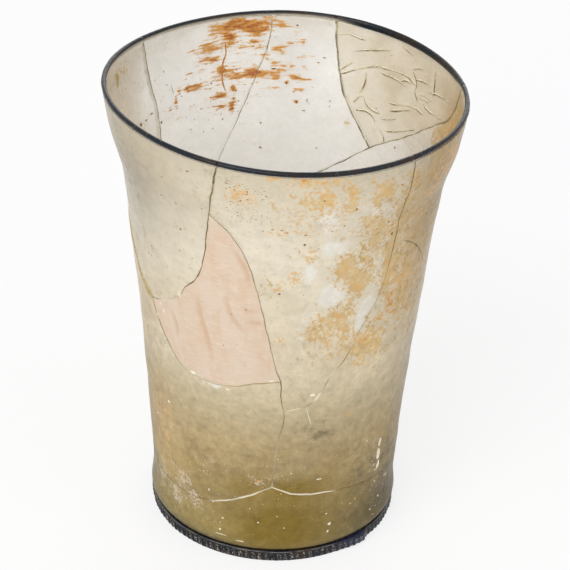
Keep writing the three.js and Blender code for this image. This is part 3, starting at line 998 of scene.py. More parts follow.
# The rust stain inside the mouth
STAIN = (
    (198, 167, 3, 2.4, 1.1), (194, 165, 3.4, 2.3, 1.2), (202, 165, 3, 3, 0.85), (201, 161, 2.4, 2, 0.9),
    (191, 164, 2.8, 2.3, 1.3), (188, 165, 1.8, 2, 1), (210, 160, 4.4, 1.2, 0.65), (208, 158, 4, 0.9, 0.65),
    (213, 158, 3.4, 0.8, 0.6), (208, 154, 3.2, 0.5, 0.6), (192, 159, 3, 0.6, 0.65), (191, 157, 2.6, 0.8, 0.65),
    (183, 156, 2.3, 1.5, 0.9), (188, 154, 1.7, 0.8, 0.65), (183, 164, 2.2, 1.6, 0.45), (185, 151, 1.6, 0.8, 0.75),
    (181, 151, 2.3, 0.6, 0.6), (193, 148, 2.8, 1.5, 1.15), (199, 147, 3.8, 0.8, 1), (201, 149, 2.5, 0.6, 0.65),
    (189, 147, 1.8, 0.9, 0.9), (184, 146, 2.1, 1.3, 1), (177, 146, 2.2, 1, 1.1), (173, 145.6, 2.4, 0.7, 0.9),
    (205, 150, 2, 1.2, 1.1), (208, 147, 2.2, 0.5, 0.55), (216, 146, 2.8, 1.1, 1.05), (221, 146, 2, 1, 1.05),
    (206, 141, 3.2, 0.8, 1.25), (201, 143, 0.9, 1.6, 0.8), (201, 139, 0.9, 1.2, 0.85), (207, 137, 3.6, 0.8, 0.95),
    (202, 136, 1, 1.7, 1.35), (180, 144, 0.9, 1, 0.95), (185, 142, 3.3, 0.5, 0.6), (174, 142, 1.8, 0.7, 0.9),
    (177, 141, 1.2, 1.2, 0.8), (176, 137, 0.8, 1.1, 0.8), (177, 162, 1.6, 2, 0.5), (179, 158, 1.5, 1.2, 0.6),
    (175, 159, 1.5, 1.6, 0.5), (176, 153, 1.6, 0.6, 0.65), (172, 154, 2, 0.7, 0.5), (178, 150, 1.3, 1.2, 0.65),
    (174, 150, 1.3, 0.8, 0.65), (182, 149, 2.3, 0.6, 0.55), (225, 146, 1, 1.1, 0.85), (227, 144, 1, 0.8, 0.75),
    (227, 142, 0.9, 1.5, 0.85), (230, 141, 2, 1.2, 0.5), (226, 137, 2.6, 1.2, 0.45), (219, 151, 1.9, 0.6, 0.65),
    (155, 132, 1.4, 1.7, 0.75), (131, 147, 1.3, 1.4, 0.7), (125, 152, 1.5, 1.6, 0.5), (112, 161, 2, 2.4, 0.5),
    (117, 155, 2.3, 1.6, 0.6), (203, 148, 24, 18, 0.3), (98, 150, 9, 18, 0.5), (207, 165, 2.6, 3.2, 0.75),
    (185, 167, 3.4, 1.6, 0.6), (181, 165, 2.4, 1.2, 0.5), (196, 158, 9, 0.8, 0.4), (212, 155, 6, 1, 0.4), (186, 148, 8, 1, 0.4),
)
# The gold haze, the places where it has flaked away, and the same two inside
GOLD = (
    (14, 167, 14, 2, 0.45), (14, 160, 4, 4, 0.7), (33, 159, 5, 5, 0.8), (22, 158, 2, 6, 0.8), (44, 152, 4, 18, 0.6),
    (62, 148, 12, 24, 0.9), (80, 150, 12, 24, 0.9), (24, 128, 4, 6, 0.8), (30, 121, 5, 5, 0.7), (43, 124, 4, 14, 0.7),
    (54, 112, 6, 14, 0.75), (68, 105, 9, 26, 0.6), (24, 108, 7, 6, 0.6), (37, 95, 9, 6, 0.55), (10, 135, 3, 4, 0.5),
    (34, 138, 6, 10, 0.5), (40, 88, 12, 8, 0.4), (14, 103, 10, 5, 0.35), (30, 146, 5, 5, 0.4),
    (-2, 121, 5, 6, 0.35), (6, 158, 9, 9, 0.4), (-56, 48, 8, 16, 0.4), (56, 50, 6, 8, 0.4), (30, 66, 10, 5, 0.25),
    (20, 94, 14, 10, 0.25), (-20, 152, 10, 14, 0.2), (-66, 130, 8, 30, 0.25), (34, 130, 28, 36, 0.3),
    (56, 140, 8, 26, 0.3),
)
GOLD_INSIDE = (
    (97, 160, 11, 8, 1), (104, 150, 8, 14, 0.9), (118, 146, 10, 3, 0.35), (253, 162, 12, 12, 0.35),
    (128, 158, 22, 10, 0.3),
)
CLEAN = (
    (-26, 76, 7, 1.6, 1.1), (16, 150, 4.5, 8, 0.8), (10, 128, 3, 6, 0.8), (19, 137, 6, 3.6, 0.95),
    (19, 117, 5, 4.8, 1.25), (35, 111, 4, 4, 1.1),
    (32, 103, 2.6, 5, 1.1), (-1, 132, 3, 8, 0.5), (-7, 143, 6, 6, 0.4), (10, 104, 4, 16, 0.45), (30, 152, 6, 5, 0.6),
    (184, 116, 44, 34, 1.1), (230, 125, 22, 24, 0.9), (200, 155, 20, 12, 0.8), (172, 152, 14, 10, 0.8),
)
CLEAN_INSIDE = (
    (184, 116, 42, 32, 1.1), (230, 125, 20, 18, 0.8), (197, 156, 3, 2.6, 1.2), (199, 153, 2, 3, 1), (172, 152, 10, 8, 0.5),
    (140, 128, 20, 10, 0.7), (156, 152, 10, 20, 0.7), (232, 150, 16, 18, 0.7), (208, 152, 20, 16, 0.6), (176, 158, 16, 12, 0.6),
)
# Where the low part glows amber, where the glass is tan, where shade is painted in darker and, at a negative strength,
# light painted in brighter, and where its film is thin
AMBER = ((4, 15, 24, 15, 1.3), (10, 33, 16, 5, 0.8), (-14, 33, 8, 5, 0.4))
WARM = (
    (-64, 52, 12, 14, 1), (-58, 33, 12, 9, 0.5), (-68, 92, 9, 12, 0.6), (80, 140, 20, 34, 0.9), (62, 100, 16, 20, 0.4),
    (-30, 46, 10, 8, 0.3), (30, 88, 14, 8, 0.25), (-78, 70, 10, 20, 0.4), (60, 160, 14, 12, 0.5), (-2, 52, 12, 5, 0.2),
    (66, 145, 14, 26, 0.7), (-58, 152, 20, 12, 0.3),
)
# Painted shade where the strength is positive and painted light where it is negative, on the outside
PAINTED_LIGHT_AND_SHADE = (
    (84, 14, 28, 14, 1.2), (46, 12, 14, 8, 0.4), (-84, 24, 12, 16, 0.3), (-88, 148, 34, 30, 0.5),
    (-62, 138, 16, 26, 0.3), (90, 148, 34, 30, 0.6), (76, 90, 12, 30, 0.4), (78, 55, 12, 22, 0.4),
    (-58, 22, 16, 16, -0.6), (-56, 44, 14, 12, -0.45), (-30, 12, 16, 7, -0.7), (-20, 50, 16, 8, -0.25),
    (44, 46, 12, 10, -0.35), (38, 86, 10, 12, -0.35), (0, 28, 14, 7, -0.25), (-55, 150, 28, 16, 0.35),
    (58, 15, 18, 14, 0.4), (66, 148, 14, 26, 0.3), (72, 154, 22, 22, 0.5),
)
# The same painted shade and painted light on the inside
PAINTED_LIGHT_AND_SHADE_INSIDE = (
    (264, 142, 16, 30, -0.8), (240, 132, 20, 20, -0.5), (205, 130, 30, 16, -0.3), (162, 150, 10, 20, -0.2),
    (178, 152, 12, 16, 0.5),
)
THIN = ((184, 118, 60, 46, 1.2), (226, 140, 34, 34, 0.9), (176, 158, 26, 16, 0.6))
SMUDGE = (
    (22, 57, 4.3, 1.5, 1), (17, 56, 2.4, 1.1, 0.7), (14, 60, 9, 4, 0.4), (-34, 41, 6, 4, 0.3), (-8, 46, 12, 5, 0.15),
    (66, 28, 12, 16, 0.5), (44, 34, 12, 12, 0.4), (-76, 20, 12, 12, 0.4), (-70, 150, 10, 20, 0.25),
)
SCUFF = (
    (-64, 21, 4.6, 5.5, 0.45), (-45, 27, 2.8, 2.6, 0.62), (-50, 17, 3.2, 4.2, 0.62), (-36, 20, 3, 2.2, 0.6),
    (-28, 41, 1.4, 1.5, 0.6), (-41, 23, 2.4, 3.4, 0.5), (-32, 36, 3, 2, 0.5), (-27, 13, 5, 1.3, 0.45), (-6, 35, 2, 1.4, 0.6),
    (-48, 22, 18, 14, 0.3), (21, 78, 2.5, 1.5, 0.7), (16, 75, 2, 1, 0.7), (-20, 75, 12, 2, 0.4), (-36, 74, 5, 3, 0.4),
    (62, 20, 12, 12, 0.25), (-6, 38, 20, 8, 0.2), (52, 36, 4, 8, 0.35),
)
# Where a painted glint shows as a bright cream line on the glue, where the glue can hardly be seen, and where it
# spread wide
PAINTED_GLINTS = (
    (-24, 24, 7, 5, 1.2), (-10, 29, 8, 5, 1.2), (5, 31, 7, 4, 1.2), (17, 30, 9, 4, 1.3), (25, 29, 5, 4, 0.9),
    (2, 48, 6, 16, 0.7), (8, 69, 5, 2, 1.1), (-34, 77, 26, 4, 0.75), (17, 74, 4, 4, 1.1), (23, 83, 4.5, 5, 0.9),
    (31, 95, 5, 8, 0.7), (-50, 102, 8, 5, 0.9), (-42, 109, 5, 5, 0.6),
)
FAINT = ((1, 46, 8, 22, 1.3), (37, 103, 10, 15, 1.4), (12, 71, 8, 6, 0.8), (44, 117, 6, 9, 1))
BROAD = (
    (101, 160, 4, 11, 2), (106, 153, 4, 4, 1), (-66, 103, 9, 8, 0.7), (-54, 90, 5, 8, 0.8), (-22, 160, 2, 10, 0.5),
    (-16, 27, 14, 6, 0.9), (14, 30, 13, 5, 0.9), (17, 74, 3, 3, 1.4), (22, 82, 4, 5, 1), (28, 89, 4, 5, 0.5),
)
# Small crusts and drips as (bearing, height, half width, half height) in millimetres
PITS = (
    (0, 146, 0.35, 0.3), (-3, 146, 0.3, 0.3), (-6, 145, 0.25, 0.25), (2, 145, 0.45, 0.3), (8, 144, 0.4, 0.3),
    (8, 140, 0.4, 0.55), (13, 159, 0.35, 0.35), (21, 147, 0.3, 0.3), (17, 145, 0.3, 0.3), (13, 138, 0.2, 0.2),
    (40, 160, 0.35, 0.4), (43, 153, 0.3, 0.4), (39, 144, 0.5, 0.3), (62, 138, 0.4, 0.4), (0, 119, 0.4, 0.4),
    (22, 113, 0.3, 0.3), (42, 138, 0.4, 0.6), (-31, 163, 0.5, 0.25), (-42, 156, 0.3, 0.25), (-45, 147, 0.35, 0.3),
    (-38, 136, 0.4, 0.4), (-38, 147, 0.3, 0.3), (-27, 149, 0.3, 0.3), (-56, 121, 0.6, 0.25), (-59, 117, 0.4, 0.25),
    (-39, 127, 0.3, 0.25), (-66, 12, 0.4, 0.4), (24, 154, 0.3, 0.5), (-13, 157, 0.3, 0.3), (-11, 160, 0.3, 0.3),
)
PITS_INSIDE = (
    (249, 142, 0.6, 0.7), (245, 142, 0.8, 0.3), (241, 143, 0.8, 0.3), (236, 138, 0.5, 0.5), (246, 156, 0.25, 0.4),
    (243, 153, 0.3, 0.2), (230, 150, 0.3, 0.3), (177, 165, 0.4, 0.4), (167, 154, 0.6, 0.2), (169, 152, 0.4, 0.2),
    (172, 138, 0.2, 0.6), (173, 134, 0.6, 0.2), (163, 139, 0.25, 0.25), (163, 137, 0.25, 0.25), (190, 129, 0.35, 0.35),
    (167, 120, 0.3, 0.3), (190, 119, 0.4, 0.4), (132, 130, 0.4, 0.4), (144, 141, 0.25, 0.3), (210, 146, 0.3, 0.3),
    (206, 132, 0.3, 0.3), (199, 138, 0.3, 0.3), (224, 121, 0.4, 0.4), (221, 131, 0.3, 0.3), (152, 138, 0.3, 0.3),
    (180, 144, 0.4, 0.6), (185, 149, 0.8, 0.3), (176, 137, 0.3, 0.5),
)
DRIPS = (
    (-41, 108, 0.6, 0.8), (-51, 97, 0.5, 0.9), (-36, 77, 1.2, 0.9), (-20, 75, 0.9, 0.4), (15, 75, 0.9, 0.7),
    (-65, 106, 0.5, 0.5), (-56, 93, 0.4, 0.6), (-52, 85, 0.4, 0.5), (-53, 99, 0.5, 0.4), (-2, 81.5, 0.9, 0.4),
    (55, 42, 0.9, 2.2), (54.6, 36.5, 1.1, 2.6), (55.4, 31.5, 0.9, 2), (53.6, 30, 0.4, 0.5), (45, 47, 0.35, 0.35),
    (-65, 46, 0.6, 0.5), (-53, 57, 0.6, 0.5),
    (66, 22, 0.5, 0.6), (64.5, 22, 0.3, 0.3), (55, 24, 0.4, 0.4), (60, 15, 0.5, 0.5), (53, 12, 0.4, 0.4),
    (28, 14, 0.7, 0.6), (27, 11, 0.5, 0.5), (8, 40, 0.3, 0.3), (21, 36, 1.1, 0.25), (26, 19, 0.3, 0.3), (-6, 17, 0.35, 0.3),
    (6, 15, 0.3, 0.3), (-23, 16, 0.4, 0.35), (-24, 11, 0.5, 0.4), (-10, 23, 0.25, 0.25), (-24, 9, 2.6, 0.14),
    (-14, 8, 1.5, 0.18), (-30, 27, 0.4, 0.4), (-28, 22, 0.4, 0.3),
)
AMBER_DROPS = ((39, 20, 0.5, 0.5), (42, 21, 0.4, 0.6), (-6, 36, 0.8, 0.5), (-37, 20, 0.4, 0.3))
YELLOW_BLOBS_INSIDE = ((257, 163, 1.4, 2), (257.6, 160.6, 0.8, 1.2))
# How many more small crusts are strewn in a window, and how large: (count, low, high, least, most)
STREWN_PITS = (
    (70, (-60, 92), (80, 168), 0.1, 0.24), (100, (-18, 148), (-3, 164), 0.1, 0.22),
    (26, (48, 98), (68, 114), 0.12, 0.26),
)
STREWN_PITS_INSIDE = (
    (60, (120, 118), (250, 166), 0.1, 0.22), (20, (196, 132), (226, 150), 0.15, 0.3),
    (30, (206, 124), (260, 148), 0.12, 0.28),
)
STREWN_DRIPS = ((40, (-66, 8), (70, 48), 0.1, 0.22), (14, (-66, 74), (-30, 100), 0.15, 0.3))
# Fine lines on the surface: the long scratch outside, and the dark run and scratch inside
SCRATCH = ((21, 124), (24, 128), (27, 132))
STAIN_RUN = ((203, 160), (203, 155), (204, 153), (205, 149), (205, 145), (204, 142))
STAIN_SCRATCH = ((228, 149.5), (227.6, 146))


def marks_at(flat, patches):
    """How strongly patches mark each place."""
    total = np.zeros(len(flat))
    for bearing, z, half_width, half_height, strength in patches:
        spread = (half_width * UNROLLED, half_height)
        gap = wrapped(flat - (bearing * UNROLLED, z)) / spread
        total += strength * np.exp(-(gap**2).sum(axis=1))
    return total


# The marks that differ between the two faces of the wall, as (outside, inside), and those that are on both
FACE_MARKS = {
    "rust": (RUST, STAIN),
    "gold": (GOLD, GOLD_INSIDE),
    "clean": (CLEAN, CLEAN_INSIDE),
    "painted_light_and_shade": (PAINTED_LIGHT_AND_SHADE, PAINTED_LIGHT_AND_SHADE_INSIDE),
    "scuff": (SCUFF, ()),
    "smudge": (SMUDGE, ()),
}
THROUGH_MARKS = {"amber": AMBER, "warm": WARM, "thin": THIN}


def wall_marks(flat, inside):
    """The marks at places on the wall, by name."""
    marks = {"inside": inside}
    for name, patches in THROUGH_MARKS.items():
        marks[name] = marks_at(flat, patches)
    for name, (on_outside, on_inside) in FACE_MARKS.items():
        marks[name] = marks_at(flat, on_outside) * (1 - inside) + marks_at(flat, on_inside) * inside
    return marks


# The colour sockets of a mix node
MIX_SHARE = 0
MIX_FIRST = 6
MIX_SECOND = 7
MIX_RESULT = 2
# How far a mark lifts the noise, and the level above which it shows
FLECK_LIFT = 0.45
FLECK_LEVEL = 0.74
# Where between face on and edge on clear glass darkens, and its mirror head on and at a glance
LIMB_RANGE = (0.25, 0.95)
HEAD_ON_GLOSS = 0.012
GLANCE_POWER = 6.0
WHITE = (1, 1, 1)


class Nodes:
    """A node tree, with short calls for the nodes that the finishes share."""

    def __init__(self, tree):
        self.tree = tree
        self.tree.nodes.clear()

    def node(self, kind, inputs, **settings):
        made = self.tree.nodes.new(kind)
        for name, value in settings.items():
            setattr(made, name, value)
        for name, value in inputs.items():
            socket = made.inputs[name]
            if isinstance(value, bpy.types.NodeSocket):
                self.tree.links.new(value, socket)
            elif socket.type == "RGBA":
                socket.default_value = (*value, 1)
            else:
                socket.default_value = value
        return made

    def sum(self, operation, a, b=0.0, c=0.0):
        return self.node("ShaderNodeMath", {0: a, 1: b, 2: c}, operation=operation).outputs[0]

    def plus(self, a, b):
        return self.sum("ADD", a, b)

    def times(self, a, b):
        return self.sum("MULTIPLY", a, b)

    def either(self, a, b):
        return self.sum("MAXIMUM", a, b)

    def seen(self):
        """1 for what the camera sees, straight or by a mirror or glass, and 0 for light that spreads."""
        path = self.node("ShaderNodeLightPath", {})
        direct = self.either(path.outputs["Is Camera Ray"], path.outputs["Is Glossy Ray"])
        return self.either(direct, path.outputs["Is Transmission Ray"])


class Finish(Nodes):
    """One material's nodes."""

    def __init__(self, name):
        self.material = bpy.data.materials.new(name)
        self.material.use_nodes = True
        super().__init__(self.material.node_tree)
        self.place = self.node("ShaderNodeTexCoord", {}).outputs["Object"]

    def ramp(self, value, low, high, to_low=0.0, to_high=1.0):
        inputs = {"Value": value, "From Min": low, "From Max": high, "To Min": to_low, "To Max": to_high}
        return self.node("ShaderNodeMapRange", inputs, interpolation_type="SMOOTHSTEP").outputs["Result"]

    def mix(self, share, a, b):
        inputs = {MIX_SHARE: share, MIX_FIRST: a, MIX_SECOND: b}
        return self.node("ShaderNodeMix", inputs, data_type="RGBA", clamp_factor=True).outputs[MIX_RESULT]

    def attribute(self, name):
        return self.node("ShaderNodeAttribute", {}, attribute_name=name).outputs["Fac"]

    def height(self):
        """The height above the table in millimetres."""
        return self.times(self.node("ShaderNodeSeparateXYZ", {0: self.place}).outputs["Z"], 1 / MM)

    def by_height(self, stops):
        """A colour for each height in millimetres, blended between them."""
        made = self.node("ShaderNodeValToRGB", {0: self.times(self.height(), 1 / HEIGHT)})
        elements = made.color_ramp.elements
        while len(elements) < len(stops):
            elements.new(1.0)
        for element, (height, colour) in zip(elements, stops):
            element.position = height / HEIGHT
            element.color = (*colour, 1)
        return made.outputs["Color"]

    def stretched(self, size, stretch, tilt=0.0):
        """Coordinates in units of size millimetres, stretched along X, Y and Z after a tilt about Y."""
        scale = tuple(1 / (size * MM * factor) for factor in stretch)
        place = self.place
        if tilt:
            inputs = {"Vector": place, "Angle": math.radians(tilt)}
            place = self.node("ShaderNodeVectorRotate", inputs, rotation_type="Y_AXIS").outputs[0]
        return self.node("ShaderNodeVectorMath", {0: place, 1: scale}, operation="MULTIPLY").outputs[0]

    def noise(self, size, detail=3.0, rough=0.55, stretch=(1, 1, 1), tilt=0.0):
        vector = self.stretched(size, stretch, tilt)
        inputs = {"Vector": vector, "Scale": 1.0, "Detail": detail, "Roughness": rough}
        return self.node("ShaderNodeTexNoise", inputs).outputs["Fac"]

    def flecks(self, mark, noise, soft=0.1):
        """Where the noise lets a mark show: all of it at full strength, and less and less as it fades."""
        level = self.sum("MULTIPLY_ADD", mark, FLECK_LIFT, noise)
        return self.ramp(level, FLECK_LEVEL - soft / 2, FLECK_LEVEL + soft / 2)

    def bump(self, height, distance):
        inputs = {"Height": height, "Distance": distance * MM, "Strength": 1.0}
        return self.node("ShaderNodeBump", inputs).outputs["Normal"]

    def blend(self, share, a, b):
        return self.node("ShaderNodeMixShader", {0: share, 1: a, 2: b}).outputs[0]

    def end(self, shader):
        self.node("ShaderNodeOutputMaterial", {"Surface": shader})
        return self.material

    def facing(self):
        """0 where the surface faces the eye and 1 where it is seen edge on, for gloss and clear glass."""
        return self.node("ShaderNodeLayerWeight", {"Blend": 0.5}).outputs["Facing"]

    def clear(self, tint, limb_tint):
        """Clear glass, which is darker where the way through it is long, but not in a glued joint."""
        colour = self.mix(self.ramp(self.facing(), *LIMB_RANGE), tint, limb_tint)
        colour = self.mix(self.attribute("broken"), colour, JOINT_TINT)
        return self.node("ShaderNodeBsdfTransparent", {"Color": colour}).outputs[0]

    def whole(self, share):
        """The share, but none of it on a broken edge, where the glue lets the glass be seen through."""
        return self.times(share, self.sum("SUBTRACT", 1.0, self.attribute("broken")))

    def glazed(self, body, normal, strength, roughness):
        """The finished material: the body under the mirror of smooth glass, strongest at a glancing angle."""
        glance = self.sum("POWER", self.facing(), GLANCE_POWER)
        share = self.whole(self.sum("MULTIPLY_ADD", glance, strength, HEAD_ON_GLOSS))
        inputs = {"Roughness": roughness, "Normal": normal, "Color": WHITE}
        gloss = self.node("ShaderNodeBsdfAnisotropic", inputs)
        return self.end(self.blend(share, body, gloss.outputs[0]))

    def opaque(self, colour, roughness, normal, gloss, **more):
        """The finished material of a body that no light goes through."""
        inputs = {"Base Color": colour, "Roughness": roughness, "Normal": normal, "Specular IOR Level": gloss}
        return self.end(self.node("ShaderNodeBsdfPrincipled", {**inputs, **more}).outputs[0])

    def film(self, colour, roughness, normal, through):
        """A thin scattering layer, lit from both its sides."""
        front = self.node("ShaderNodeBsdfPrincipled", {
            "Base Color": colour, "Roughness": roughness, "Specular IOR Level": 0.1, "Normal": normal,
        })
        back = self.node("ShaderNodeBsdfTranslucent", {"Color": colour, "Normal": normal})
        return self.blend(through, front.outputs[0], back.outputs[0])


RUST_BROWN = (0.40, 0.11, 0.015)
RUST_ORANGE = (0.68, 0.315, 0.06)
RUST_GOLD = (0.78, 0.52, 0.23)
HAZE_GOLD = (0.74, 0.54, 0.26)
HAZE_BROWN = (0.60, 0.38, 0.14)
HAZE_TILT = 35
JOINT_TINT = (0.995, 0.995, 0.99)
AMBER_GLOW = (0.27, 0.18, 0.028)
CLEAN_CREAM = (0.88, 0.87, 0.82)
CLEAN_WHITE = (0.93, 0.93, 0.94)
INSIDE_CREAM = (0.85, 0.80, 0.73)
SMUDGE_GREEN = (0.13, 0.115, 0.06)
SCUFF_WHITE = (0.80, 0.70, 0.57)
WARM_TAN = (0.56, 0.385, 0.175)
CLOUD_TAN = (0.56, 0.47, 0.30)
GRAIN_BROWN = (0.52, 0.42, 0.25)
PALE_CREAM = (0.90, 0.87, 0.80)
LIMB_OLIVE = (0.5, 0.41, 0.22)
GLASS_IOR = 1.52
# The film's colour by height, from the foot to the rim; its darkest stops, just above the foot thread, are painted
# shade of that dark thread
FILM_COLOURS_AND_FOOT_SHADE = (
    (5, (0.13, 0.11, 0.06)), (6.5, (0.24, 0.19, 0.08)), (10, (0.31, 0.235, 0.085)),
    (30, (0.43, 0.315, 0.125)), (46, (0.46, 0.34, 0.16)), (60, (0.57, 0.465, 0.275)),
    (70, (0.67, 0.57, 0.38)), (81, (0.78, 0.685, 0.50)), (104, (0.83, 0.745, 0.58)),
    (134, (0.84, 0.775, 0.64)), (157, (0.77, 0.70, 0.56)), (168, (0.66, 0.59, 0.455)),
)


def aged_glass(name, low_tint, cover_range):
    """Weathered glass: a thin scattering film on clear tinted glass, with haze, rust, scuffs and grain, and with shade
    and light painted into the film's colour.
    """
    f = Finish(name)
    inside = f.attribute("inside")
    clouds = f.noise(14, 4, 0.6)
    patchy = f.noise(5, 6, 0.72)
    fine = f.noise(1.3, 5, 0.7)
    grain = f.noise(2.6, 5, 0.75)
    turned = f.noise(3.2, 5, 0.68, (1.5, 1.5, 0.26))

    height = f.height()
    colour = f.by_height(FILM_COLOURS_AND_FOOT_SHADE)
    colour = f.mix(f.times(inside, f.ramp(height, 60, 110, 0, 0.85)), colour, INSIDE_CREAM)
    colour = f.mix(f.times(f.attribute("warm"), f.ramp(patchy, 0.25, 0.65, 0.45, 0.9)), colour, WARM_TAN)
    colour = f.mix(f.ramp(clouds, 0.4, 0.7, 0, 0.22), colour, CLOUD_TAN)
    colour = f.mix(f.ramp(grain, 0.5, 0.72, 0, 0.28), colour, GRAIN_BROWN)
    colour = f.mix(f.ramp(fine, 0.4, 0.2, 0, 0.3), colour, PALE_CREAM)
    amber = f.times(f.attribute("amber"), f.ramp(patchy, 0.2, 0.6, 0.75, 1))
    colour = f.mix(amber, colour, AMBER_GLOW)
    smudge = f.flecks(f.attribute("smudge"), f.noise(4, 5, 0.65), 0.4)
    colour = f.mix(f.times(smudge, 0.7), colour, SMUDGE_GREEN)
    slanted = f.noise(4, 5, 0.7, (0.6, 1, 1.7), HAZE_TILT)
    hazed = f.plus(f.times(slanted, 0.55), f.times(fine, 0.45))
    haze = f.flecks(f.attribute("gold"), f.sum("MULTIPLY_ADD", hazed, 1.7, -0.35), 0.12)
    gold = f.mix(f.ramp(grain, 0.46, 0.62), HAZE_GOLD, HAZE_BROWN)
    colour = f.mix(f.times(haze, f.ramp(patchy, 0.3, 0.6, 0.6, 1)), colour, gold)
    clean = f.flecks(f.attribute("clean"), f.plus(f.times(patchy, 0.6), f.times(clouds, 0.4)), 0.16)
    colour = f.mix(f.times(clean, 0.75), colour, f.mix(inside, CLEAN_CREAM, CLEAN_WHITE))
    spread = f.ramp(height, 60, 120, 0.95, 0.4)
    mottle = f.sum("MULTIPLY_ADD", f.sum("SUBTRACT", f.noise(3.5, 5, 0.72), 0.5), spread, 1)
    # Painted shade and painted light from the marks, on top of a random mottle of tone
    shade = f.times(mottle, f.sum("MULTIPLY_ADD", f.attribute("painted_light_and_shade"), -0.45, 1.0))
    colour = f.node("ShaderNodeHueSaturation", {"Value": shade, "Color": colour}).outputs["Color"]

    speckled = f.plus(f.times(grain, 0.5), f.times(fine, 0.5))
    streaked = f.plus(f.times(turned, 0.75), f.times(fine, 0.25))
    texture = f.sum("MULTIPLY_ADD", inside, f.sum("SUBTRACT", streaked, speckled), speckled)
    texture = f.sum("MULTIPLY_ADD", texture, 1.8, -0.4)
    stained = f.sum("MINIMUM", f.attribute("rust"), 1.1)
    strong = f.either(inside, f.ramp(stained, 0.35, 0.8, 0.3, 1))
    level = f.sum("MULTIPLY_ADD", stained, 0.46, texture)
    level = f.plus(level, f.ramp(stained, 0.02, 0.2, -0.2, 0))
    rust = f.ramp(level, 0.72, 0.78)
    colour = f.mix(f.ramp(level, 0.66, 0.74, 0, 0.65), colour, RUST_GOLD)
    colour = f.mix(f.times(f.ramp(level, 0.76, 0.86), strong), colour, RUST_ORANGE)
    colour = f.mix(f.times(f.ramp(level, 0.9, 1.12), strong), colour, RUST_BROWN)
    scratched = f.plus(f.times(f.noise(0.7, 4, 0.8), 0.6), f.times(grain, 0.4))
    scratched = f.sum("MULTIPLY_ADD", scratched, 1.8, -0.4)
    scuff = f.flecks(f.sum("MINIMUM", f.attribute("scuff"), 0.5), scratched, 0.1)
    colour = f.mix(f.times(scuff, 0.75), colour, SCUFF_WHITE)

    cover = f.ramp(f.noise(9, 5, 0.6, (1, 1, 0.5)), 0.25, 0.75, *cover_range)
    cover = f.times(cover, f.ramp(inside, 0, 1, 1, 0.85))
    cover = f.times(cover, f.ramp(f.attribute("thin"), 0, 1, 1, 0.5))
    cover = f.whole(f.either(cover, f.times(f.either(rust, scuff), 0.95)))

    normal = f.bump(f.plus(f.times(fine, 0.5), f.times(f.noise(0.5, 3), 0.25)), 0.06)
    film = f.film(colour, f.ramp(fine, 0.3, 0.7, 0.25, 0.45), normal, 0.22)
    clear = f.clear(low_tint, LIMB_OLIVE)
    gloss = f.ramp(height, 30, 115, 0.1, 0.28)
    return f.glazed(f.blend(cover, clear, film), normal, gloss, 0.12)


def pink_resin():
    """The opaque pink fill, with soft darker runs in it."""
    f = Finish("pink_resin")
    streak = f.attribute("streak")
    cloud = f.noise(11, 3, 0.5, (1, 1, 1.6))
    brushed = f.noise(3.5, 3, 0.5, (1, 1, 0.25))
    runs = f.noise(3.2, 3, 0.5, (1, 1, 4))
    colour = f.mix(f.ramp(cloud, 0.3, 0.7), (0.78, 0.65, 0.52), (0.76, 0.585, 0.43))
    colour = f.mix(f.ramp(runs, 0.5, 0.66, 0, 0.5), colour, (0.74, 0.55, 0.38))
    colour = f.mix(f.ramp(brushed, 0.4, 0.75, 0, 0.4), colour, (0.86, 0.76, 0.66))
    colour = f.mix(f.ramp(streak, 0.1, 1, 0, 0.7), colour, (0.68, 0.46, 0.29))
    normal = f.bump(f.plus(brushed, f.times(f.noise(0.8, 2), 0.2)), 0.15)
    film = f.film(colour, 0.38, normal, 0.2)
    clear = f.clear((0.95, 0.9, 0.84), (0.6, 0.5, 0.4))
    return f.glazed(f.blend(0.95, clear, film), normal, 0.35, 0.2)


def clear_resin():
    """The wrinkled clear film of the rim's fill."""
    f = Finish("clear_resin")
    gold = f.attribute("gold")
    cloud = f.noise(7, 4, 0.55)
    colour = f.mix(f.ramp(cloud, 0.3, 0.7), (0.80, 0.735, 0.61), (0.68, 0.59, 0.44))
    colour = f.mix(f.ramp(f.attribute("clean"), 0.1, 0.8, 0, 0.7), colour, PALE_CREAM)
    colour = f.mix(f.times(gold, 0.7), colour, (0.60, 0.42, 0.24))
    # Painted highlight along the lifted folds
    colour = f.mix(f.ramp(f.attribute("fold_highlight"), 0.04, 0.3, 0, 0.5), colour, (0.86, 0.80, 0.62))
    cover = f.whole(f.ramp(f.noise(6, 4), 0.3, 0.7, 0.5, 0.68))
    normal = f.bump(f.noise(1.4, 4), 0.08)
    film = f.film(colour, 0.3, normal, 0.4)
    clear = f.clear((0.97, 0.95, 0.9), (0.6, 0.5, 0.3))
    return f.glazed(f.blend(cover, clear, film), normal, 0.5, 0.1)


def crease_film():
    """A sharp crease of the clear film: a painted highlight along its ridge and a painted shadow along one side."""
    f = Finish("crease_film")
    shade = f.attribute("shade")
    # Painted highlight where the shade is positive, painted shadow where it is negative
    colour = f.mix(f.ramp(shade, 0.2, 0.8), (0.76, 0.68, 0.50), (0.94, 0.91, 0.78))
    colour = f.mix(f.ramp(shade, -0.2, -0.8), colour, (0.23, 0.18, 0.07))
    uneven = f.noise(2.6, 3)
    cover = f.times(f.ramp(f.sum("ABSOLUTE", shade), 0.1, 0.7), f.ramp(uneven, 0.36, 0.56, 0.25, 1))
    normal = f.bump(f.noise(0.6, 3), 0.04)
    film = f.film(colour, 0.3, normal, 0.3)
    clear = f.clear((0.97, 0.95, 0.88), (0.8, 0.75, 0.6))
    return f.glazed(f.blend(cover, clear, film), normal, 0.4, 0.1)


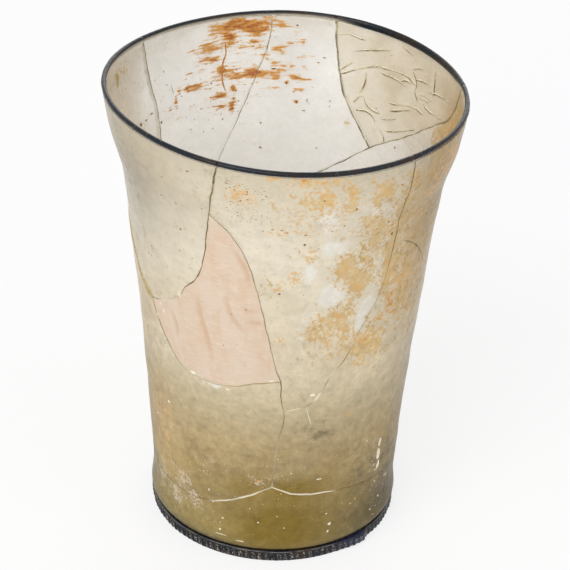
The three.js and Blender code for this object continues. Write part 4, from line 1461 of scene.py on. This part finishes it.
def rim_glass():
    """The dark blue glass of the rim thread, browned by weathering in places."""
    f = Finish("rim_glass")
    patch = f.noise(13, 4, 0.6)
    fine = f.noise(1.8, 4)
    colour = f.mix(f.ramp(patch, 0.46, 0.62), (0.009, 0.013, 0.018), (0.024, 0.016, 0.013))
    colour = f.mix(f.ramp(f.attribute("blue"), 0, 0.9), colour, (0.02, 0.06, 0.08))
    colour = f.mix(f.ramp(fine, 0.6, 0.75, 0, 0.5), colour, (0.13, 0.075, 0.04))
    colour = f.mix(f.times(f.attribute("lip"), f.ramp(fine, 0.3, 0.5, 0.75, 1)), colour, (0.72, 0.66, 0.55))
    normal = f.bump(fine, 0.2)
    return f.opaque(colour, f.ramp(fine, 0.3, 0.7, 0.1, 0.3), normal, 0.18, IOR=GLASS_IOR)


def foot_glass():
    """The dark foot thread, with whitish deposits left in its notches and a painted highlight along its top."""
    f = Finish("foot_glass")
    notch = f.attribute("notch")
    fine = f.noise(0.8, 4, 0.65)
    patch = f.noise(9, 3)
    colour = f.mix(f.ramp(patch, 0.45, 0.6), (0.007, 0.008, 0.012), (0.03, 0.019, 0.012))
    colour = f.mix(f.times(f.attribute("lap"), f.ramp(fine, 0.35, 0.6)), colour, (0.022, 0.03, 0.075))
    specks = f.ramp(f.noise(0.5, 3, 0.6), 0.53, 0.62)
    deposit = f.times(f.ramp(notch, 0.2, 0.7), f.times(specks, f.ramp(patch, 0.3, 0.55, 0.35, 1)))
    colour = f.mix(f.times(deposit, 0.8), colour, (0.58, 0.55, 0.49))
    bare = f.sum("SUBTRACT", 1.0, f.attribute("lap"))
    # Painted highlight: a bright line along the top of the thread, except on the lapped end
    crest_highlight = f.times(f.ramp(f.attribute("crest_highlight"), 0.6, 1), f.ramp(f.noise(4, 4, 0.6), 0.4, 0.55, 0.1, 0.8))
    colour = f.mix(f.times(crest_highlight, bare), colour, (0.66, 0.62, 0.54))
    normal = f.bump(fine, 0.12)
    return f.opaque(colour, f.ramp(deposit, 0, 1, 0.2, 0.8), normal, 0.2, IOR=GLASS_IOR)


def glue(name, dark, light, bright, opacity, roughness):
    """Old glue, uneven in colour along the joint, with a painted glint in bright cream where the joint catches the
    light.
    """
    f = Finish(name)
    uneven = f.noise(5, 4)
    painted_glint = f.attribute("painted_glint")
    faint = f.attribute("faint")
    colour = f.mix(f.ramp(uneven, 0.35, 0.65), dark, light)
    # Painted glint: bright cream where the joint catches the light, which also covers the glue there
    colour = f.mix(painted_glint, colour, bright)
    normal = f.bump(f.noise(0.8, 3), 0.05)
    film = f.film(colour, roughness, normal, 0.3)
    broken = f.ramp(f.noise(3.4, 4, 0.6), 0.38, 0.56, opacity / 4, opacity)
    cover = f.either(f.times(broken, f.ramp(faint, 0, 1, 1, 0.05)), f.times(painted_glint, 0.95))
    clear = f.clear((0.95, 0.92, 0.8), (0.8, 0.75, 0.55))
    return f.glazed(f.blend(cover, clear, film), normal, 0.3, roughness)


def crust(name, dark, light, roughness):
    """A small opaque crust, of two colours that run into each other."""
    f = Finish(name)
    grain = f.noise(0.5, 3, 0.6)
    colour = f.mix(f.ramp(grain, 0.3, 0.7), dark, light)
    return f.opaque(colour, roughness, f.bump(grain, 0.05), 0.3)


def in_scene(name, data):
    """A new object in the scene."""
    made = bpy.data.objects.new(name, data)
    bpy.context.scene.collection.objects.link(made)
    return made


# The angle above which an edge is drawn sharp
SHARP_ANGLE = 42


def make_piece(name, points, faces, material, replaces=None, marks=None):
    """A smooth mesh object from millimetre points, which rides on the frame."""
    mesh = bpy.data.meshes.new(name)
    mesh.from_pydata((points * MM).tolist(), [], faces)
    mesh.validate()
    for mark, values in (marks or {}).items():
        layer = mesh.attributes.new(mark, "FLOAT", "POINT")
        layer.data.foreach_set("value", values.astype(np.float32))
    mesh.shade_smooth()
    mesh.set_sharp_from_angle(angle=math.radians(SHARP_ANGLE))
    mesh.materials.append(material)
    piece = in_scene(name, mesh)
    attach(piece, "root")
    if replaces:
        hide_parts(replaces)


GLASS = aged_glass("aged_glass", (0.985, 0.978, 0.96), (0.8, 0.94))
BASE_GLASS = aged_glass("base_glass", (0.84, 0.76, 0.52), (0.82, 0.95))
# The bright cream of the painted glints on the glue lines
GLINT_CREAM = (0.94, 0.87, 0.68)
DARK_GLUE = glue("dark_glue", (0.13, 0.10, 0.04), (0.30, 0.25, 0.12), GLINT_CREAM, 0.85, 0.3)
BROWN_GLUE = glue("brown_glue", (0.11, 0.07, 0.045), (0.25, 0.17, 0.11), GLINT_CREAM, 0.9, 0.3)
THIN_GLUE = glue("thin_glue", (0.26, 0.20, 0.10), (0.44, 0.36, 0.21), GLINT_CREAM, 0.7, 0.3)
GREY_GLUE = glue("grey_glue", (0.25, 0.22, 0.12), (0.44, 0.40, 0.25), GLINT_CREAM, 0.85, 0.3)
CLEAR_GLUE = glue("clear_glue", (0.34, 0.26, 0.10), (0.46, 0.36, 0.16), GLINT_CREAM, 0.12, 0.3)
FAINT_GLUE = glue("faint_glue", (0.40, 0.32, 0.16), (0.56, 0.47, 0.27), GLINT_CREAM, 0.4, 0.35)
YELLOW_GLUE = glue("yellow_glue", (0.62, 0.45, 0.14), (0.80, 0.66, 0.34), GLINT_CREAM, 0.75, 0.2)
RUST_CRUST = crust("rust_crust", (0.16, 0.075, 0.03), (0.34, 0.17, 0.065), 0.8)
STAIN_CRUST = crust("stain_crust", (0.42, 0.15, 0.03), (0.62, 0.28, 0.07), 0.7)
PALE_CRUST = crust("pale_crust", (0.74, 0.66, 0.46), (0.88, 0.84, 0.70), 0.4)
AMBER_CRUST = crust("amber_crust", (0.62, 0.32, 0.12), (0.72, 0.48, 0.24), 0.4)
OLIVE_CRUST = crust("olive_crust", (0.44, 0.35, 0.10), (0.52, 0.42, 0.16), 0.35)
WALL_FINISH = {
    "base": (BASE_GLASS, "base_glass"),
    "fill_pink": (pink_resin(), "pink_resin"),
    "fill_clear": (clear_resin(), "clear_resin"),
}


def build_wall():
    places, pieces = lay_out_wall()
    rng = np.random.default_rng(53)
    for name, triangles in pieces.items():
        shell, outer_ring, inner_ring = wall_shell(name, places, triangles, rng)
        if name == "base":
            add_base_rows(shell, outer_ring, heel_profile(), True)
            add_base_rows(shell, inner_ring, floor_profile(), False)
        marks = {**wall_marks(shell.flat, shell.inside), "broken": shell.broken}
        if name == "fill_clear":
            marks["fold_highlight"] = lift_for(name, shell.flat)
        if name == "fill_pink":
            marks["streak"] = -lift_for(name, shell.flat) / STREAK_DEPTH
        finish, slot = WALL_FINISH.get(name, (GLASS, "aged_glass"))
        make_piece("glass_" + name, shell.points, shell.faces, finish, name, marks)


# The thin line of glue that each crack shows on both faces: half width, rise and finish
GLUE_LINES = {
    "front_left": (0.2, 0.07, DARK_GLUE),
    "left_join": (0.9, 0.25, YELLOW_GLUE),
    "pink_fill_left": (0.24, 0.1, FAINT_GLUE),
    "pink_fill_right": (0.15, 0.07, THIN_GLUE),
    "front_low": (0.2, 0.07, BROWN_GLUE),
    "front_right": (0.18, 0.07, DARK_GLUE),
    "back_left": (0.17, 0.07, DARK_GLUE),
    "back_centre": (0.13, 0.06, THIN_GLUE),
    "clear_fill_left": (0.3, 0.12, GREY_GLUE),
    "clear_fill_right": (0.2, 0.1, GREY_GLUE),
    "round_base": (0.2, 0.09, CLEAR_GLUE),
}
# The cracks seen from inside, and the share of the glue line's size that they show on the outside
SEEN_FROM_INSIDE = ("back_left", "back_centre", "clear_fill_left", "clear_fill_right")
OUTSIDE_SHARE = 0.35


# The lines on the surface that part nothing, as (points, half width, share of painted glint)
SURFACE_LINES = {"spur": (SPUR, 0.18, 0.9), "flake_edge": (FLAKE, 0.2, 0)}
LINE_STEP = 0.8
LINE_TAPER = 2
# The scratches and the run, finer
SCRATCH_STEP = 0.6
SCRATCH_TAPER = 1.5
LINE_RISE = 0.05


def build_glue():
    """The glue of every crack, outside and inside, and the two lines that part nothing."""
    rng = np.random.default_rng(67)
    for name, (half_width, rise, finish) in GLUE_LINES.items():
        line = below_edge(CRACK_LINES[name])
        share = OUTSIDE_SHARE if name in SEEN_FROM_INSIDE else 1
        outside = bead(line, half_width * share, rise * share, rng, OUTSIDE)
        points, faces, flat = joined([outside, bead(line, half_width, rise, rng, INSIDE)])
        marks = {"painted_glint": np.clip(marks_at(flat, PAINTED_GLINTS), 0, 1), "faint": np.clip(marks_at(flat, FAINT), 0, 1)}
        make_piece("glue_" + name, points, faces, finish, marks=marks)
    for name, (places, half_width, painted_glint) in SURFACE_LINES.items():
        line = smooth_line(unroll(places), LINE_STEP)
        points, faces, flat = bead(line, half_width, LINE_RISE, rng, OUTSIDE, LINE_TAPER)
        marks = {"painted_glint": np.full(len(flat), painted_glint), "faint": np.zeros(len(flat))}
        make_piece("glue_" + name, points, faces, DARK_GLUE, marks=marks)


def build_creases():
    """The sharp folds of the clear fill, as one piece on its inner face."""
    creases = [crease(smooth_line(unroll_mm(places), CREASE_STEP)) for places in WRINKLES]
    points, faces, shades = joined(creases)
    marks = {"shade": shades}
    make_piece("creases_clear_fill", points, faces, crease_film(), marks=marks)


def build_crusts():
    """The small crusts, pits, drips and scratches, a piece for each kind."""
    rng = np.random.default_rng(83)
    groups = (
        ("pits_outside", PITS, STREWN_PITS, OUTSIDE, RUST_CRUST),
        ("pits_inside", PITS_INSIDE, STREWN_PITS_INSIDE, INSIDE, RUST_CRUST),
        ("drips_outside", DRIPS, STREWN_DRIPS, OUTSIDE, PALE_CRUST),
        ("drops_amber", AMBER_DROPS, (), OUTSIDE, AMBER_CRUST),
        ("drops_olive", YELLOW_BLOBS_INSIDE, (), INSIDE, OLIVE_CRUST),
    )
    for name, places, windows, side, finish in groups:
        points, faces = spots(list(places) + strewn(windows, rng), side, rng)
        make_piece(name, points, faces, finish)
    lines = (
        ("scratch_outside", SCRATCH, OUTSIDE, 0.14, AMBER_CRUST),
        ("run_inside", STAIN_RUN, INSIDE, 0.24, STAIN_CRUST),
        ("scratch_inside", STAIN_SCRATCH, INSIDE, 0.16, RUST_CRUST),
    )
    for name, places, side, half_width, finish in lines:
        line = smooth_line(unroll_mm(places), SCRATCH_STEP)
        points, faces, _ = bead(line, half_width, LINE_RISE, rng, side, SCRATCH_TAPER)
        make_piece(name, points, faces, finish)


def build_threads():
    crossings = rim_crossings()
    dark = rim_glass()
    for name, bearing in RIM_PIECES.items():
        points, faces, marks = rim_thread(bearing, crossings)
        make_piece("thread_" + name, points, faces, dark, name, marks)
    points, faces, marks = foot_thread(np.random.default_rng(71))
    make_piece("thread_foot", points, faces, foot_glass(), "foot_thread", marks)


build_wall()
build_glue()
build_creases()
build_crusts()
build_threads()

# The stage, in metres, and the beaker's middle, at which the lamps and the camera point
AIM = Vector((0, 0, 0.0852))
FLOOR_SIZE = 6
SHADOW_SHARE = 0.25
WORLD_LIGHT = 0.5
# Each soft lamp as (name, place, size, power)
LAMPS = (
    ("key", (-0.75, -1.25, 1.25), 1.5, 24),
    ("fill", (1.3, -0.9, 0.8), 1.5, 5),
    ("back", (0.2, 1.4, 0.9), 1.5, 9),
)


def build_stage():
    """A pale floor that shows white to the camera and keeps a soft shadow."""
    f = Finish("floor")
    matte = f.node("ShaderNodeBsdfDiffuse", {"Color": (0.9, 0.9, 0.9)}).outputs[0]
    white = f.node("ShaderNodeEmission", {"Color": (1, 1, 1), "Strength": 1.0}).outputs[0]
    material = f.end(f.blend(f.times(f.seen(), 1 - SHADOW_SHARE), matte, white))
    mesh = bpy.data.meshes.new("floor")
    half = FLOOR_SIZE / 2
    corners = [(-half, -half, 0), (half, -half, 0), (half, half, 0), (-half, half, 0)]
    mesh.from_pydata(corners, [], [(0, 1, 2, 3)])
    mesh.materials.append(material)
    in_scene("floor", mesh)


def build_world():
    """White to the camera, and dimmer as a light."""
    world = bpy.data.worlds.new("studio")
    world.use_nodes = True
    w = Nodes(world.node_tree)
    strength = w.sum("MULTIPLY_ADD", w.seen(), 1 - WORLD_LIGHT, WORLD_LIGHT)
    background = w.node("ShaderNodeBackground", {"Color": (1, 1, 1), "Strength": strength})
    w.node("ShaderNodeOutputWorld", {"Surface": background.outputs[0]})
    bpy.context.scene.world = world


def build_lamps():
    """Square soft lamps that face the beaker's middle."""
    for name, place, size, power in LAMPS:
        light = bpy.data.lights.new(name, "AREA")
        light.size = size
        light.energy = power
        lamp = in_scene(name, light)
        lamp.location = place
        lamp.rotation_euler = (AIM - Vector(place)).to_track_quat("-Z", "Y").to_euler()


# The camera at the photograph's viewing angle
CAMERA_DISTANCE = 0.8747
CAMERA_ELEVATION = 31.16
CAMERA_ROLL = 2.02
LENS = 152.3
SHIFT = (0.01035, 0.0218)


def build_camera():
    elevation = math.radians(CAMERA_ELEVATION)
    back = Vector((0, -math.cos(elevation), math.sin(elevation)))
    data = bpy.data.cameras.new("camera")
    data.lens = LENS
    data.shift_x, data.shift_y = SHIFT
    camera = in_scene("camera", data)
    turn = (-back).to_track_quat("-Z", "Y").to_matrix() @ Matrix.Rotation(math.radians(CAMERA_ROLL), 3, "Z")
    camera.matrix_world = Matrix.Translation(AIM + back * CAMERA_DISTANCE) @ turn.to_4x4()
    bpy.context.scene.camera = camera


build_stage()
build_world()
build_lamps()
build_camera()
bpy.context.scene.view_settings.view_transform = "Standard"
